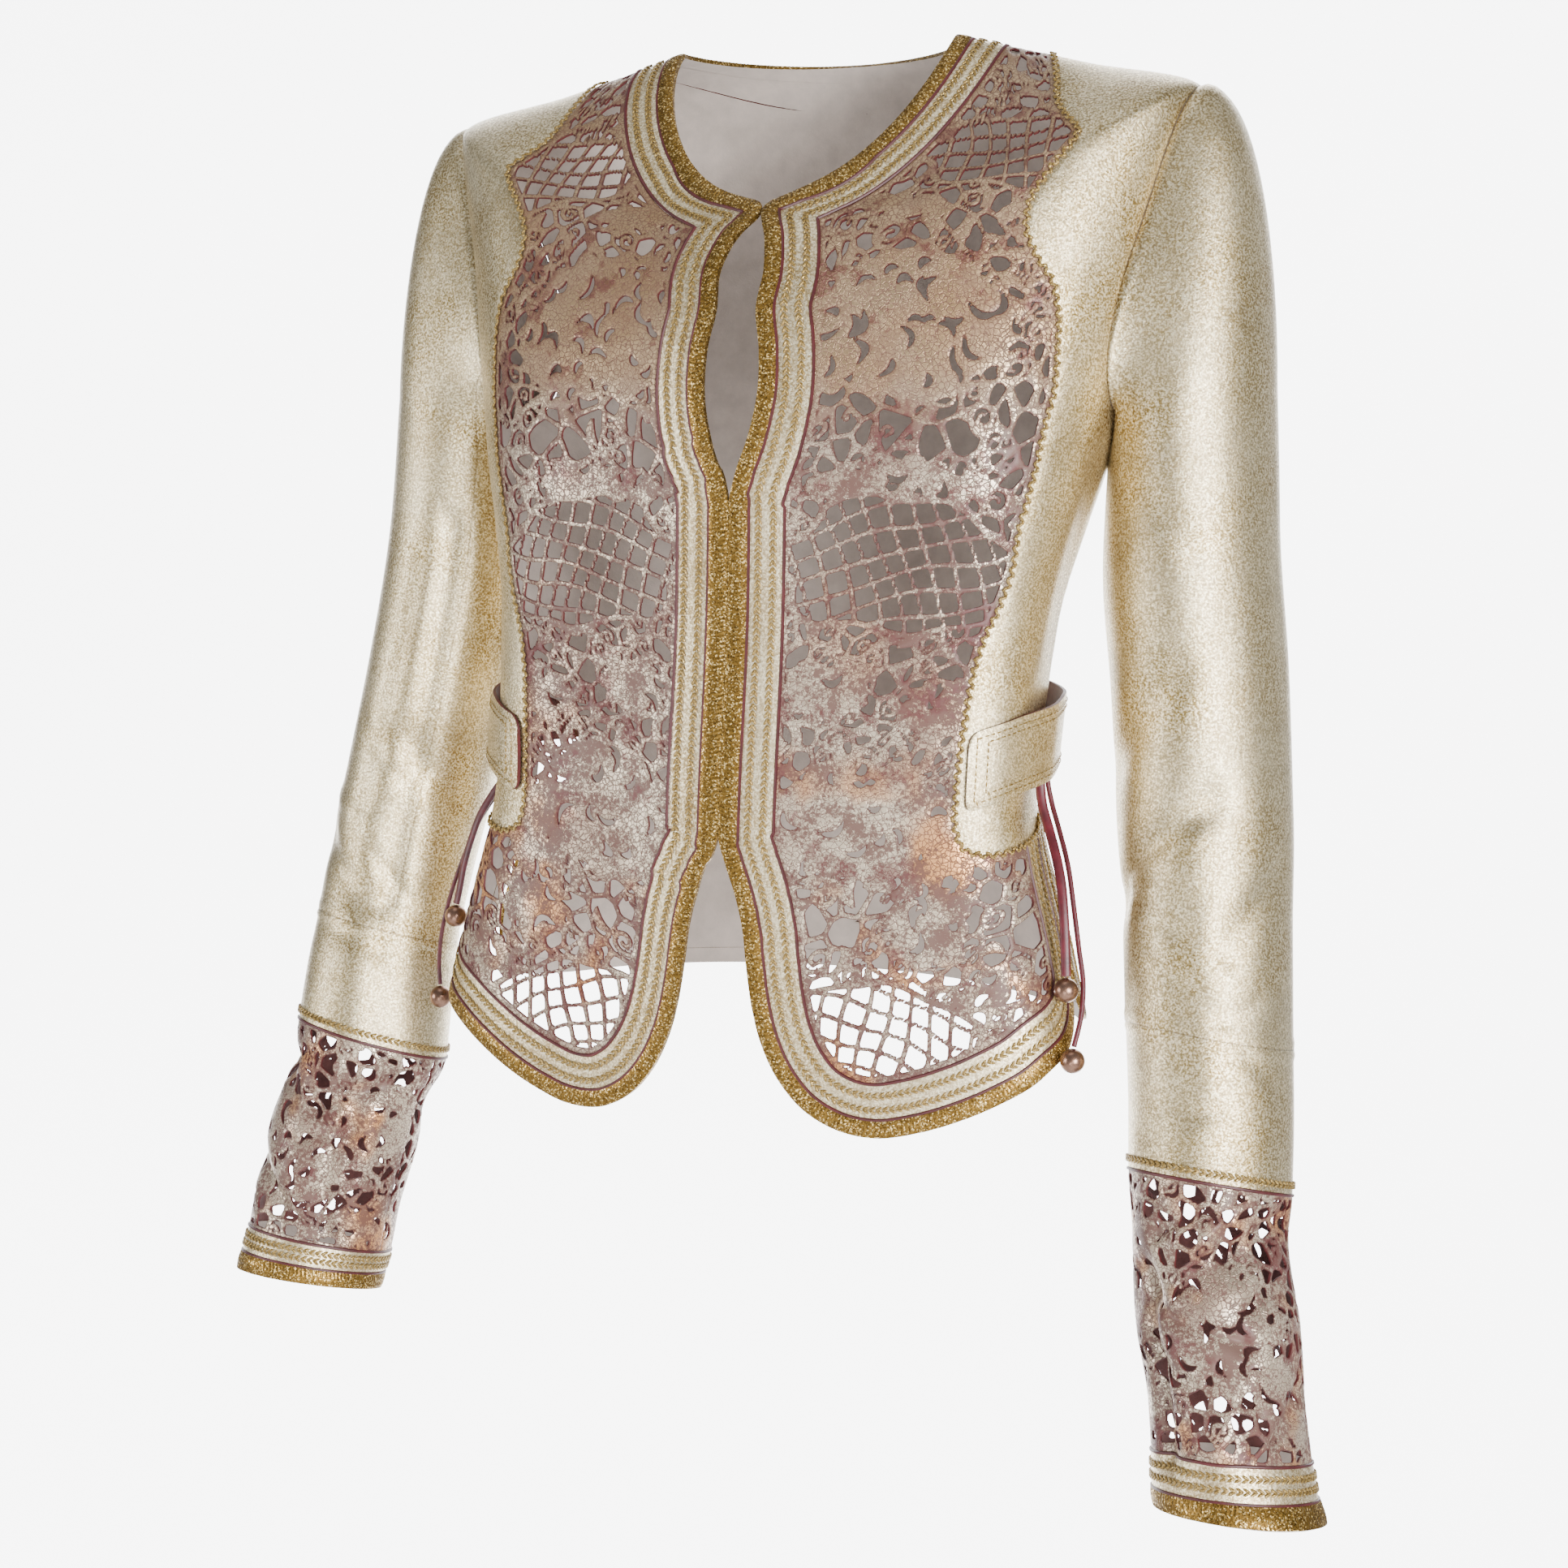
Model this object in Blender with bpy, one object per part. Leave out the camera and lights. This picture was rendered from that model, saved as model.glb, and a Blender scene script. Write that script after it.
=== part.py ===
"""A short fitted collarless leather jacket with cut-out lace fronts, worn form with no wearer.

Lengths are in millimetres until a mesh is made.  +Z is up, the front faces -Y and the wearer's
left is +X.  The origin is the middle of the neck opening, level with the side of the neck.
"""
import math

import bmesh
import bpy
import numpy as np
from mathutils import Vector, geometry

for old in list(bpy.data.objects):
    bpy.data.objects.remove(old, do_unlink=True)

# driving sizes
MM = 0.001
WALL = 1.6             # foiled leather
BRAID_WALL = 2.2       # glitter braid, under its outer face
BRAID_PROUD = 1.0      # how far the braid stands out over the leather
SEAM = 0.3             # gap between two pieces that are sewn together
FOLD_SEAM = 0.6        # the same where the cloth folds sharply
BRAID_WIDTH = 8.0
BAND_WIDTH = 16.0
TRIM_WIDTH = BRAID_WIDTH + BAND_WIDTH
CLOSURE = 4.0          # the fronts meet this far to the wearer's left of the middle
CLOSED_RUN = 0.15      # each front edge's run from that line where the fronts are closed
KEEL = 6.0             # how far the middle of the front stands forward
SIDE_SEAM_BACK = 20.0  # the side seam runs this far behind the widest line
VENT_GAP = 5.0
HEM_LIFT = {"L": 0.0, "R": 10.0}    # how much higher each front's hem hangs at the side
VENT_TOP = 154.0       # row height where the side vent ends
HEM_BACK = 36.0        # row height of the back hem
SHOULDER_PHI = 96.0    # the shoulder seam, degrees round from the middle front
NECK_ROW = 560.0
RING_STEPS = 20        # columns round a sleeve
CORNER = 2             # bevel_resolution of a hanging lace

# The body as rings.  h names the row.  zs, zf and zb are the ring's heights at side, front and
# back, a its half width, yw, yf and yb the depth of its widest line, front and back, pf and pb
# how square it is in front and behind, sway how far the ring hangs to the left, and dip how
# sharply its height falls to the front.
BODY_COLUMNS = ("h", "zs", "zf", "zb", "a", "yw", "yf", "yb", "pf", "pb", "sway", "dip")
BODY_ROWS = {
    "below": (-40, -520, -545, -520, 166, -52, -104, 92, 2.6, 2.1, -9, 2.0),
    "hem": (0, -480, -500, -480, 161, -54, -103, 86, 2.7, 2.1, -9, 2.0),
    "hip": (80, -415, -428, -412, 147, -56, -102, 76, 2.8, 2.1, -8, 2.0),
    "waist": (170, -335, -342, -330, 129, -52, -100, 56, 3.0, 2.0, -6, 2.0),
    "ribs": (250, -265, -268, -252, 132, -44, -98, 64, 2.9, 2.0, -3, 2.0),
    "bust": (330, -200, -190, -172, 145, -28, -102, 82, 2.8, 2.1, 0, 2.0),
    "armpit": (380, -160, -145, -120, 156, -12, -98, 88, 2.6, 2.2, 0, 2.0),
    "chest": (430, -100, -113, -75, 169, 0, -89, 86, 2.4, 2.2, 0, 2.0),
    "point": (480, -33, -92, -38, 182, 4, -75, 74, 2.2, 2.1, 0, 2.0),
    "slope": (520, -17, -84, -18, 128, 4, -66, 62, 2.1, 2.0, 0, 1.5),
    "neck": (560, -2, -77, -4, 68, 2, -59, 52, 2.0, 2.0, 0, 1.25),
}

# Front edge below the neck corner: e is the run from the closure, h the row height.
FRONT_EDGE = (
    (24, 560), (13, 557.5), (5, 549), (1, 535), (0.6, 515), (3, 490), (8, 458), (10.5, 432), (9.5, 404),
    (12.5, 378), (12.5, 356), (9, 338), (3.5, 322), (CLOSED_RUN, 308), (CLOSED_RUN, 270), (CLOSED_RUN, 230),
    (CLOSED_RUN, 190), (CLOSED_RUN, 154), (4, 142), (9, 128), (13, 112), (15, 96), (18, 76), (23, 56), (31, 38), (43, 23), (58, 14),
    (76, 10), (95, 11.5), (113, 15), (131, 20), (147, 26),
)
# Round corner where hem and side vent meet: h, and the run from the side seam.
VENT_CORNER = ((31, 38), (38, 24), (48, 12), (60, 5), (76, 1.5), (100, 0), (130, 0), (VENT_TOP + 22, 0))

# Wavy line where the lace meets the plain side panel, from under the shoulder seam to the hip.
SIDE_LINE = (
    (150, 523), (142, 512), (144, 500), (147, 489), (141, 477), (132, 466), (125, 455), (124, 442),
    (129, 429), (137, 416), (140.5, 403), (141.5, 388), (141.5, 371), (138, 353), (135, 334), (131, 316),
    (127, 298), (125, 280), (120, 262), (114, 246), (110, 228), (108, 208), (106.5, 188), (106, 170),
    (106.5, 156), (110, 147), (118, 142.5), (133, 141.5), (150, 143.5), (164, 147),
)
SIDE_LINE_TOP = 532.0  # row height where that line leaves the shoulder seam

# Armhole loop: its middle, half height, half width, and how it leans and narrows to the top.
ARMHOLE = {"run": 215.0, "row": 424.0, "half_height": 61.0, "half_width": 38.0, "lean": 10.0, "narrow": 0.35}
ARMHOLE_EASE = 0.35    # how far the sleeve's root lies inside the armhole

# Sleeves, section by section down the arm.  z, x and y place the middle, a is half the width
# across, b half the depth, lean lifts the outer side and nod the front.
SLEEVE_COLUMNS = ("z", "x", "y", "a", "b", "lean", "nod")
SLEEVES = {
    "L": {
        "bicep": (-178, 180, 2, 36, 45, 20, 0),
        "upper": (-230, 181, 0, 38, 45, 12, 1),
        "mid": (-290, 187, -4, 38.5, 44, 5, 2),
        "low": (-350, 192, -10, 38.5, 42, 0, 4),
        "bend": (-395, 196, -18, 37, 40, -2, 6),
        "elbow": (-444.5, 200, -27, 36.5, 38, -4, 7),
        "band": (-477, 203, -34, 36, 37, -3, 8.5),
        "wrist": (-507, 205, -41, 35.5, 36, -2.5, 9.5),
        "dent": (-530, 207, -47, 33.5, 36, 0, 9.5),
        "cuff": (-564, 213, -56, 35.5, 37, 1, 9.5),
        "low cuff": (-596, 220, -65, 33.5, 37, 1.5, 9.5),
        "lace end": (-618, 224, -71, 34, 37, 1, 9.5),
        "band end": (-632, 227, -76, 35, 37, 1, 9),
        "hem": (-640, 230, -79, 36, 38, 0, 9),
    },
    "R": {
        "bicep": (-178, -183, 2, 35, 45, 20, 0),
        "upper": (-230, -188, 0, 35, 44, 13, 1),
        "mid": (-290, -198, -5, 35, 43, 8, 2),
        "low": (-350, -210, -12, 34.5, 41, 7, 4),
        "bend": (-390, -217, -20, 34, 38, 7, 6),
        "elbow": (-424, -221, -28, 33.5, 36, 7, 7),
        "band": (-451, -222, -35, 35, 37, 7.5, 8),
        "wrist": (-479, -222.5, -42, 36, 37, 8, 9),
        "dent": (-504, -228, -48, 33.5, 35, 7, 9),
        "cuff": (-530, -234, -54, 35, 37, 6, 9),
        "low cuff": (-558, -239, -61, 34.5, 36, 5, 9),
        "lace end": (-578, -241, -65, 34.5, 35, 4, 9),
        "band end": (-589, -242.5, -69, 34.5, 35, 3, 9),
        "hem": (-597, -243.5, -72, 35, 34, 2, 9),
    },
}
# Seams of the two-piece sleeve, as columns round it from the outer line towards the front.
SLEEVE_SEAMS = {"L": (9, 17), "R": (7, 16)}

# Folds of the sleeves.  Each runs straight from (t0, d0) to (t1, d1): t is degrees round the
# sleeve, 0 outside and 90 in front, and d the distance down the arm below the bicep.  wide is
# half its breadth and deep how far it sinks; a negative deep is a ridge.
CREASE_COLUMNS = ("t0", "d0", "t1", "d1", "wide", "deep")
CREASES = {
    "L": (
        (160, 215, 70, 165, 9, 2.6),
        (150, 150, 95, 110, 10, 1.8),
        (20, 195, 60, 225, 8, 1.8),
        (10, 345, 60, 365, 8, 4.0),
        (55, 365, 150, 385, 8, 3.2),
        (135, 375, 128, 450, 7, 4.5),
        (30, 395, 85, 440, 10, -3.0),
        (200, 350, 290, 400, 9, 3.5),
        (300, 375, 330, 430, 9, 3.5),
    ),
    "R": (
        (112, 40, 120, 235, 7, 2.4),
        (40, 215, 100, 240, 9, 2.2),
        (150, 180, 100, 150, 9, 2.0),
        (-20, 318, 50, 330, 7, 4.0),
        (150, 322, 95, 345, 7, 4.2),
        (20, 372, 80, 395, 8, 4.6),
        (-10, 352, 25, 372, 7, -3.0),
        (125, 345, 135, 400, 7, 3.6),
        (210, 330, 300, 375, 9, 3.5),
    ),
}

# Lace gaps of one front: e and h of the middle, width, height, turn in degrees, and corners.
GAP_COLUMNS = ("e", "h", "width", "height", "turn", "corners")
FRONT_GAPS = (
    (50, 482, 9, 7, 20, 4), (70, 470, 8, 8, -15, 4), (92, 462, 9, 7, 10, 4), (112, 474, 8, 8, 30, 4),
    (118, 440, 8, 10, 0, 4), (124, 412, 9, 11, 10, 4), (127, 388, 8, 12, -10, 4), (124, 362, 9, 9, 20, 4),
    (46, 372, 8, 14, -20, 5), (66, 369, 14, 15, 10, 5), (84, 373, 12, 10, -15, 4), (104, 366, 12, 17, 15, 5),
    (56, 350, 9, 8, 0, 4), (95, 349, 9, 7, 0, 4), (119, 338, 8, 12, 10, 4),
    (44, 246, 8, 9, 10, 4), (62, 240, 11, 9, -10, 5), (80, 236, 10, 11, 20, 5), (97, 242, 9, 12, 0, 4),
    (92, 218, 12, 10, 30, 5), (72, 214, 9, 9, -20, 4), (99, 196, 9, 13, 5, 5), (80, 192, 10, 9, 10, 4),
    (97, 172, 8, 12, -8, 4),
    (45, 136, 10, 12, -15, 5), (60, 130, 12, 9, 10, 4), (77, 133, 10, 9, 0, 4), (95, 124, 8, 10, 25, 4),
    (118, 128, 9, 8, -15, 4), (134, 124, 8, 10, 0, 4), (152, 126, 8, 9, 20, 4),
    (122, 106, 9, 8, 15, 4), (140, 100, 8, 10, 0, 4), (156, 102, 8, 9, -10, 4),
    (128, 82, 9, 8, 0, 4), (146, 78, 8, 8, 20, 4),
)
# Nets of square gaps: e and h of the lower inner corner, columns, rows, pitch, gap and turn.
NET_COLUMNS = ("e", "h", "columns", "rows", "pitch", "gap", "turn")
FRONT_NETS = (
    (50, 270, 6, 5, 11.0, 8.4, 12),
    (50, 62, 5, 4, 11.0, 8.4, -14),
    (84, 497, 4, 3, 11.0, 8.0, 6),
)
CUFF_GAPS = (
    (-34, 14, 9, 11, 10, 4), (-18, 10, 11, 13, -15, 4), (2, 16, 10, 9, 20, 4), (20, 12, 8, 10, 0, 4),
    (-28, 44, 8, 11, 0, 4), (-6, 62, 10, 8, 15, 4), (26, 40, 9, 12, -10, 4), (30, 68, 10, 13, 5, 4),
    (12, 88, 8, 9, 0, 4), (-30, 84, 8, 12, 0, 4),
)

# Half belt: run from the closure, row height, and stand-off from the body, front end to back.
BELT_WIDTH = 35.0
BELT_WALL = 2.0
BELT_START = 110.0
BELT_ROUND = 5.0
BELT_END_STAND = 0.8
BELT_STAND = 6.5
BELT_BACK_STAND = 3.5

# Hanging laces and beads.  Each lace runs from behind the belt down to its bead.
LACE_WIDE = 4.4
LACE_THIN = 2.4
BEAD_RADIUS = 5.5
LACES = {
    "cord_near_L": (LACE_WIDE, ((127.2, -46, -318), (126.8, -46.5, -333), (128.5, -48.5, -343),
                                (132.5, -51.5, -353), (137, -56, -363), (141, -60.5, -374), (144, -65, -388),
                                (145.6, -67.5, -401), (146.7, -69.4, -414.9))),
    "cord_far_L": (LACE_THIN, ((128.5, -39, -318), (128, -39.5, -333), (130.5, -41, -343), (135, -44.5, -354),
                               (141, -50, -369), (145.5, -55, -387), (149.5, -59.5, -405),
                               (152.6, -63, -419), (153.2, -68, -433), (151.8, -73, -444.9))),
    "cord_near_R": (LACE_WIDE, ((-139.2, -46, -318), (-139.2, -46.3, -333), (-142.5, -47, -343),
                                (-148.5, -48.2, -352), (-154.5, -49.7, -362), (-159, -51, -374),
                                (-162.6, -52.3, -387), (-164.8, -53.2, -399), (-166.2, -53.9, -405.9))),
    "cord_far_R": (LACE_THIN, ((-139.4, -39, -318), (-139.4, -39.2, -333), (-143.5, -39.8, -343),
                               (-150.5, -41, -353), (-159, -43, -366), (-167.5, -45.5, -386),
                               (-173, -49, -405), (-176, -52, -422), (-175.8, -55, -437),
                               (-174.3, -56.8, -445.9))),
}
BEADS = {
    "bead_near_L": (147, -70, -421),
    "bead_far_L": (151.5, -74, -451),
    "bead_near_R": (-166.5, -54, -412),
    "bead_far_R": (-174, -57, -452),
}

# Finishes: colour, metallic, roughness.
FINISHES = {
    "foiled leather": ((0.55, 0.45, 0.27, 1), 0.75, 0.42),
    "lace leather": ((0.62, 0.55, 0.44, 1), 0.55, 0.5),
    "trim leather": ((0.68, 0.6, 0.42, 1), 0.75, 0.38),
    "glitter braid": ((0.36, 0.24, 0.07, 1), 0.85, 0.45),
    "lace cord": ((0.16, 0.01, 0.02, 1), 0.0, 0.5),
    "bead": ((0.32, 0.18, 0.12, 1), 0.9, 0.3),
}


def monotone(x, known, values):
    """Smooth curve through the known values that never overshoots them."""
    known = np.asarray(known, float)
    values = np.asarray(values, float)
    step = np.diff(known)
    slope = np.diff(values) / step
    rate = np.zeros(len(known))
    rate[0], rate[-1] = slope[0], slope[-1]
    for i in range(1, len(known) - 1):
        if slope[i - 1] * slope[i] > 0:
            wide, narrow = 2 * step[i] + step[i - 1], step[i] + 2 * step[i - 1]
            rate[i] = (wide + narrow) / (wide / slope[i - 1] + narrow / slope[i])
    i = np.clip(np.searchsorted(known, x) - 1, 0, len(known) - 2)
    u = (x - known[i]) / step[i]
    return ((1 + 2 * u) * (1 - u) ** 2 * values[i] + u * (1 - u) ** 2 * step[i] * rate[i]
            + u * u * (3 - 2 * u) * values[i + 1] + u * u * (u - 1) * step[i] * rate[i + 1])


BODY = np.array(list(BODY_ROWS.values()), float)


def body_point(phi, row):
    """Point of the body's outer face; phi in degrees from the middle front, + to the left."""
    phi = np.radians(phi)
    row = np.asarray(row, float)
    v = {name: monotone(row, BODY[:, 0], BODY[:, k]) for k, name in enumerate(BODY_COLUMNS) if k}
    sine, cosine = np.sin(phi), np.cos(phi)
    front = cosine >= 0
    power = 2 / np.where(front, v["pf"], v["pb"])
    x = v["a"] * np.sign(sine) * np.abs(sine) ** power
    reach = np.where(front, v["yf"], v["yb"]) - v["yw"]
    y = v["yw"] + reach * np.abs(cosine) ** power
    share = np.abs(cosine) ** np.where(front, v["dip"], 2.0)
    z = np.where(front, v["zf"], v["zb"]) * share + v["zs"] * (1 - share)
    y = y - np.where(front, KEEL * np.exp(-(x / 35.0) ** 2), 0)
    return np.stack([x + v["sway"], y, z], -1)


PHI = np.arange(-200.0, 341.0, 0.5)
ROWS = np.arange(-40.0, 560.1, 2.0)


def ring_runs():
    """Run in mm round each ring, from the middle front."""
    grid = body_point(*np.meshgrid(PHI, ROWS))
    steps = np.linalg.norm(np.diff(grid, axis=1), axis=2)
    runs = np.concatenate([np.zeros((len(ROWS), 1)), np.cumsum(steps, 1)], 1)
    return runs - runs[:, [int(np.argmin(abs(PHI)))]]


RUNS = ring_runs()


def runs_at(row):
    place = np.clip((np.asarray(row, float) - ROWS[0]) / 2.0, 0, len(ROWS) - 1.001)
    low = place.astype(int)
    part = (place - low)[:, None]
    return RUNS[low] * (1 - part) + RUNS[low + 1] * part


def run_of(phi, row):
    row = np.atleast_1d(np.asarray(row, float))
    phi = np.broadcast_to(np.asarray(phi, float), row.shape)
    return np.array([np.interp(p, PHI, line) for p, line in zip(phi, runs_at(row))])


def half_run(row):
    return run_of(180.0, row)


def place(points):
    """Points (run, row) onto the body."""
    phi = np.array([np.interp(s, line, PHI) for s, line in zip(points[:, 0], runs_at(points[:, 1]))])
    return body_point(phi, points[:, 1])


def front_map(side):
    """Map from (run from the closure, row) on the wearer's left (+1) or right (-1) front."""
    def to_space(points):
        return place(np.stack([CLOSURE + side * points[:, 0], points[:, 1]], 1))
    return to_space


def back_map(points):
    """Map from (run from the middle back, + to the wearer's left, row)."""
    return place(np.stack([half_run(points[:, 1]) - points[:, 0], points[:, 1]], 1))


def frame_at(points, to_space, hop=0.5):
    """Place, both partial derivatives and outward normal at each point."""
    east, north = np.array([hop, 0.0]), np.array([0.0, hop])
    along = (to_space(points + east) - to_space(points - east)) / (2 * hop)
    up = (to_space(points + north) - to_space(points - north)) / (2 * hop)
    spot = to_space(points)
    normal = np.cross(along, up)
    normal /= np.linalg.norm(normal, axis=1, keepdims=True)
    return spot, along, up, normal


def move_on(points, direction, distance, to_space, steps):
    """Points moved a real distance over the surface along directions given in space."""
    points = points.copy()
    for _ in range(steps):
        spot, along, up, normal = frame_at(points, to_space)
        way = direction - (direction * normal).sum(1, keepdims=True) * normal
        way /= np.linalg.norm(way, axis=1, keepdims=True)
        aa, au, uu = (along * along).sum(1), (along * up).sum(1), (up * up).sum(1)
        wa, wu = (way * along).sum(1), (way * up).sum(1)
        det = aa * uu - au * au
        points[:, 0] += distance / steps * (wa * uu - wu * au) / det
        points[:, 1] += distance / steps * (wu * aa - wa * au) / det
    return points


def smooth(points, step):
    """Curve through the points, a point every step or so."""
    points = np.asarray(points, float)
    gaps = np.maximum(np.linalg.norm(np.diff(points, axis=0), axis=1), 1e-6)
    at = np.concatenate([[0], np.cumsum(gaps)])
    rate = np.gradient(points, at, axis=0)
    where = np.linspace(0, at[-1], max(2, int(at[-1] / step) + 1))
    i = np.clip(np.searchsorted(at, where) - 1, 0, len(at) - 2)
    u = ((where - at[i]) / gaps[i])[:, None]
    g = gaps[i][:, None]
    return ((1 + 2 * u) * (1 - u) ** 2 * points[i] + u * (1 - u) ** 2 * g * rate[i]
            + u * u * (3 - 2 * u) * points[i + 1] + u * u * (u - 1) * g * rate[i + 1])


def evenly(curve, to_space, step):
    """The same curve with points a real step apart."""
    spots = to_space(curve)
    at = np.concatenate([[0], np.cumsum(np.linalg.norm(np.diff(spots, axis=0), axis=1))])
    where = np.linspace(0, at[-1], max(2, int(round(at[-1] / step)) + 1))
    return np.stack([np.interp(where, at, curve[:, k]) for k in (0, 1)], 1)


def inset_curve(edge, distance, to_space, hand):
    """Line that runs a real distance inside an edge; hand +1 keeps the piece on the left."""
    spot, along, up, normal = frame_at(edge, to_space)
    tangent = np.gradient(spot, axis=0)
    inward = hand * np.cross(normal, tangent)
    inward /= np.linalg.norm(inward, axis=1, keepdims=True)
    line = move_on(edge, inward, distance, to_space, max(1, int(distance / 4)))
    spots = to_space(line)
    near = np.array([np.linalg.norm(spot - p, axis=1).min() for p in spots])
    return line[near > distance * 0.965]


def crossing(a, b):
    """Where line a first crosses line b: the place along each, and the point."""
    for i in range(len(a) - 1):
        p, r = a[i], a[i + 1] - a[i]
        q, s = b[:-1], np.diff(b, axis=0)
        det = r[0] * s[:, 1] - r[1] * s[:, 0]
        det = np.where(abs(det) < 1e-12, 1e-12, det)
        d = q - p
        t = (d[:, 0] * s[:, 1] - d[:, 1] * s[:, 0]) / det
        u = (d[:, 0] * r[1] - d[:, 1] * r[0]) / det
        hits = np.where((t >= 0) & (t < 1) & (u >= 0) & (u < 1))[0]
        if len(hits):
            k = hits[0]
            return i + t[k], k + u[k], p + t[k] * r
    raise ValueError("lines do not cross")


def stretch(curve, start, end, least=0.12):
    """The part of a line between two places along it, in that direction."""
    low, high = min(start, end), max(start, end)
    inner = [k for k in range(len(curve)) if low + least < k < high - least]
    ends = [np.array([np.interp(v, np.arange(len(curve)), curve[:, k]) for k in (0, 1)]) for v in (low, high)]
    points = [ends[0]] + [curve[k] for k in inner] + [ends[1]]
    return np.array(points if start <= end else points[::-1])


def join(*parts):
    """Closed outline from lines laid end to end."""
    points = np.concatenate(parts)
    keep = [np.linalg.norm(points[k] - points[k - 1]) > 0.05 for k in range(len(points))]
    return points[keep]


def turn_of(outline):
    x, y = outline[:, 0], outline[:, 1]
    return np.sign((x * np.roll(y, -1) - np.roll(x, -1) * y).sum())


def shrink(outline, distance, to_space):
    """Outline moved inward by a real distance, for half a seam's gap."""
    spot, along, up, normal = frame_at(outline, to_space)
    aa, au, uu = (along * along).sum(1), (along * up).sum(1), (up * up).sum(1)
    hand = turn_of(outline)

    def inward(edge):
        away = hand * np.stack([-edge[:, 1], edge[:, 0]], 1)
        det = aa * uu - au * au
        way = np.stack([uu * away[:, 0] - au * away[:, 1], aa * away[:, 1] - au * away[:, 0]], 1) / det[:, None]
        size = np.sqrt((away * way).sum(1))
        return way / size[:, None], away / size[:, None]

    before, before_side = inward(outline - np.roll(outline, 1, axis=0))
    after, after_side = inward(np.roll(outline, -1, axis=0) - outline)
    middle = before + after
    reach = (before_side * middle).sum(1)
    middle *= (distance / np.maximum(reach, 0.45))[:, None]
    return outline + middle


def inside(points, outline):
    """Which points lie inside a closed outline."""
    x, y = points[:, 0][:, None], points[:, 1][:, None]
    ax, ay = outline[:, 0], outline[:, 1]
    bx, by = np.roll(ax, -1), np.roll(ay, -1)
    cut = (ay > y) != (by > y)
    across = x < (bx - ax) * (y - ay) / np.where(by == ay, 1e-9, by - ay) + ax
    return (cut & across).sum(1) % 2 == 1


def clearance(points, outline):
    """Least distance from each point to an outline's sides."""
    a, b = outline, np.roll(outline, -1, axis=0)
    side = b - a
    d = points[:, None] - a[None]
    t = np.clip((d * side).sum(2) / np.maximum((side * side).sum(1), 1e-9), 0, 1)
    return np.linalg.norm(d - t[..., None] * side[None], axis=2).min(1)


def filling(outline, holes, step):
    """Staggered points inside a piece, clear of its sides and gaps."""
    low, high = outline.min(0), outline.max(0)
    points = []
    for j, y in enumerate(np.arange(low[1] + step / 2, high[1], step * 0.87)):
        for x in np.arange(low[0] + step * (0.25 + 0.5 * (j % 2)), high[0], step):
            points.append((x, y))
    if not points:
        return np.zeros((0, 2))
    points = np.array(points)
    points = points[inside(points, outline)]
    for loop in [outline] + holes:
        if len(points):
            points = points[clearance(points, loop) > step * 0.36]
    return points


def make_object(name, spots, faces, finish):
    mesh = bpy.data.meshes.new(name)
    mesh.from_pydata([Vector(p) * MM for p in spots], [], [list(map(int, f)) for f in faces])
    mesh.validate()
    mesh.materials.append(finish_of(name, finish))
    mesh.shade_smooth()
    mesh.set_sharp_from_angle(angle=math.radians(40))
    thing = bpy.data.objects.new(name, mesh)
    bpy.context.scene.collection.objects.link(thing)
    return thing


def finish_of(name, finish):
    colour, metallic, roughness = FINISHES[finish]
    material = bpy.data.materials.new(name + " " + finish)
    material.use_nodes = True
    shader = material.node_tree.nodes["Principled BSDF"]
    shader.inputs["Base Color"].default_value = colour
    shader.inputs["Metallic"].default_value = metallic
    shader.inputs["Roughness"].default_value = roughness
    return material


def shell(name, spots, normals, triangles, wall, proud, finish):
    """Closed wall from an open patch: outer face, inner face and the rims between them."""
    count = len(spots)
    triangles = np.array(triangles)
    flat = np.cross(spots[triangles[:, 1]] - spots[triangles[:, 0]], spots[triangles[:, 2]] - spots[triangles[:, 0]])
    facing = (flat * normals[triangles].mean(1)).sum(1)
    if facing.sum() < 0:
        triangles = triangles[:, ::-1]
    faces = [tuple(t) for t in triangles] + [tuple(t[::-1] + count) for t in triangles]
    edges = {}
    for t in triangles:
        for a, b in ((t[0], t[1]), (t[1], t[2]), (t[2], t[0])):
            if (b, a) in edges:
                del edges[(b, a)]
            else:
                edges[(a, b)] = True
    faces += [(b, a, a + count, b + count) for a, b in edges]
    body = np.concatenate([spots + proud * normals, spots - wall * normals])
    return make_object(name, body, faces, finish)


def sheet(name, outline, to_space, finish, holes=(), step=28.0, wall=WALL, proud=0.0, facing=1,
          seam=SEAM, extra=None):
    """A cut piece with gaps, laid on a surface."""
    holes = list(holes)
    outline = shrink(outline, seam / 2, to_space)
    inner = filling(outline, holes, step)
    if extra is not None:
        extra = extra[inside(extra, outline)]
        extra = extra[clearance(extra, outline) > step * 0.2]
        near = np.array([np.linalg.norm(extra - p, axis=1).min() < step * 0.45 for p in inner], bool)
        inner = np.concatenate([inner[~near], extra])
    points = [outline] + holes + [inner]
    sides, start = [], 0
    for loop in [outline] + holes:
        sides += [(start + k, start + (k + 1) % len(loop)) for k in range(len(loop))]
        start += len(loop)
    flat = np.concatenate(points)
    found = geometry.delaunay_2d_cdt([Vector(p) for p in flat], sides, [], 0, 1e-5)
    flat = np.array([tuple(p) for p in found[0]])
    triangles = np.array([f for f in found[2] if len(f) == 3])
    middle = flat[triangles].mean(1)
    keep = inside(middle, outline)
    for hole in holes:
        keep &= ~inside(middle, hole)
    triangles = triangles[keep]
    used = np.unique(triangles)
    triangles = np.searchsorted(used, triangles)
    spot, along, up, normal = frame_at(flat[used], to_space)
    return shell(name, spot, facing * normal, triangles, wall, proud, finish)


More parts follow.
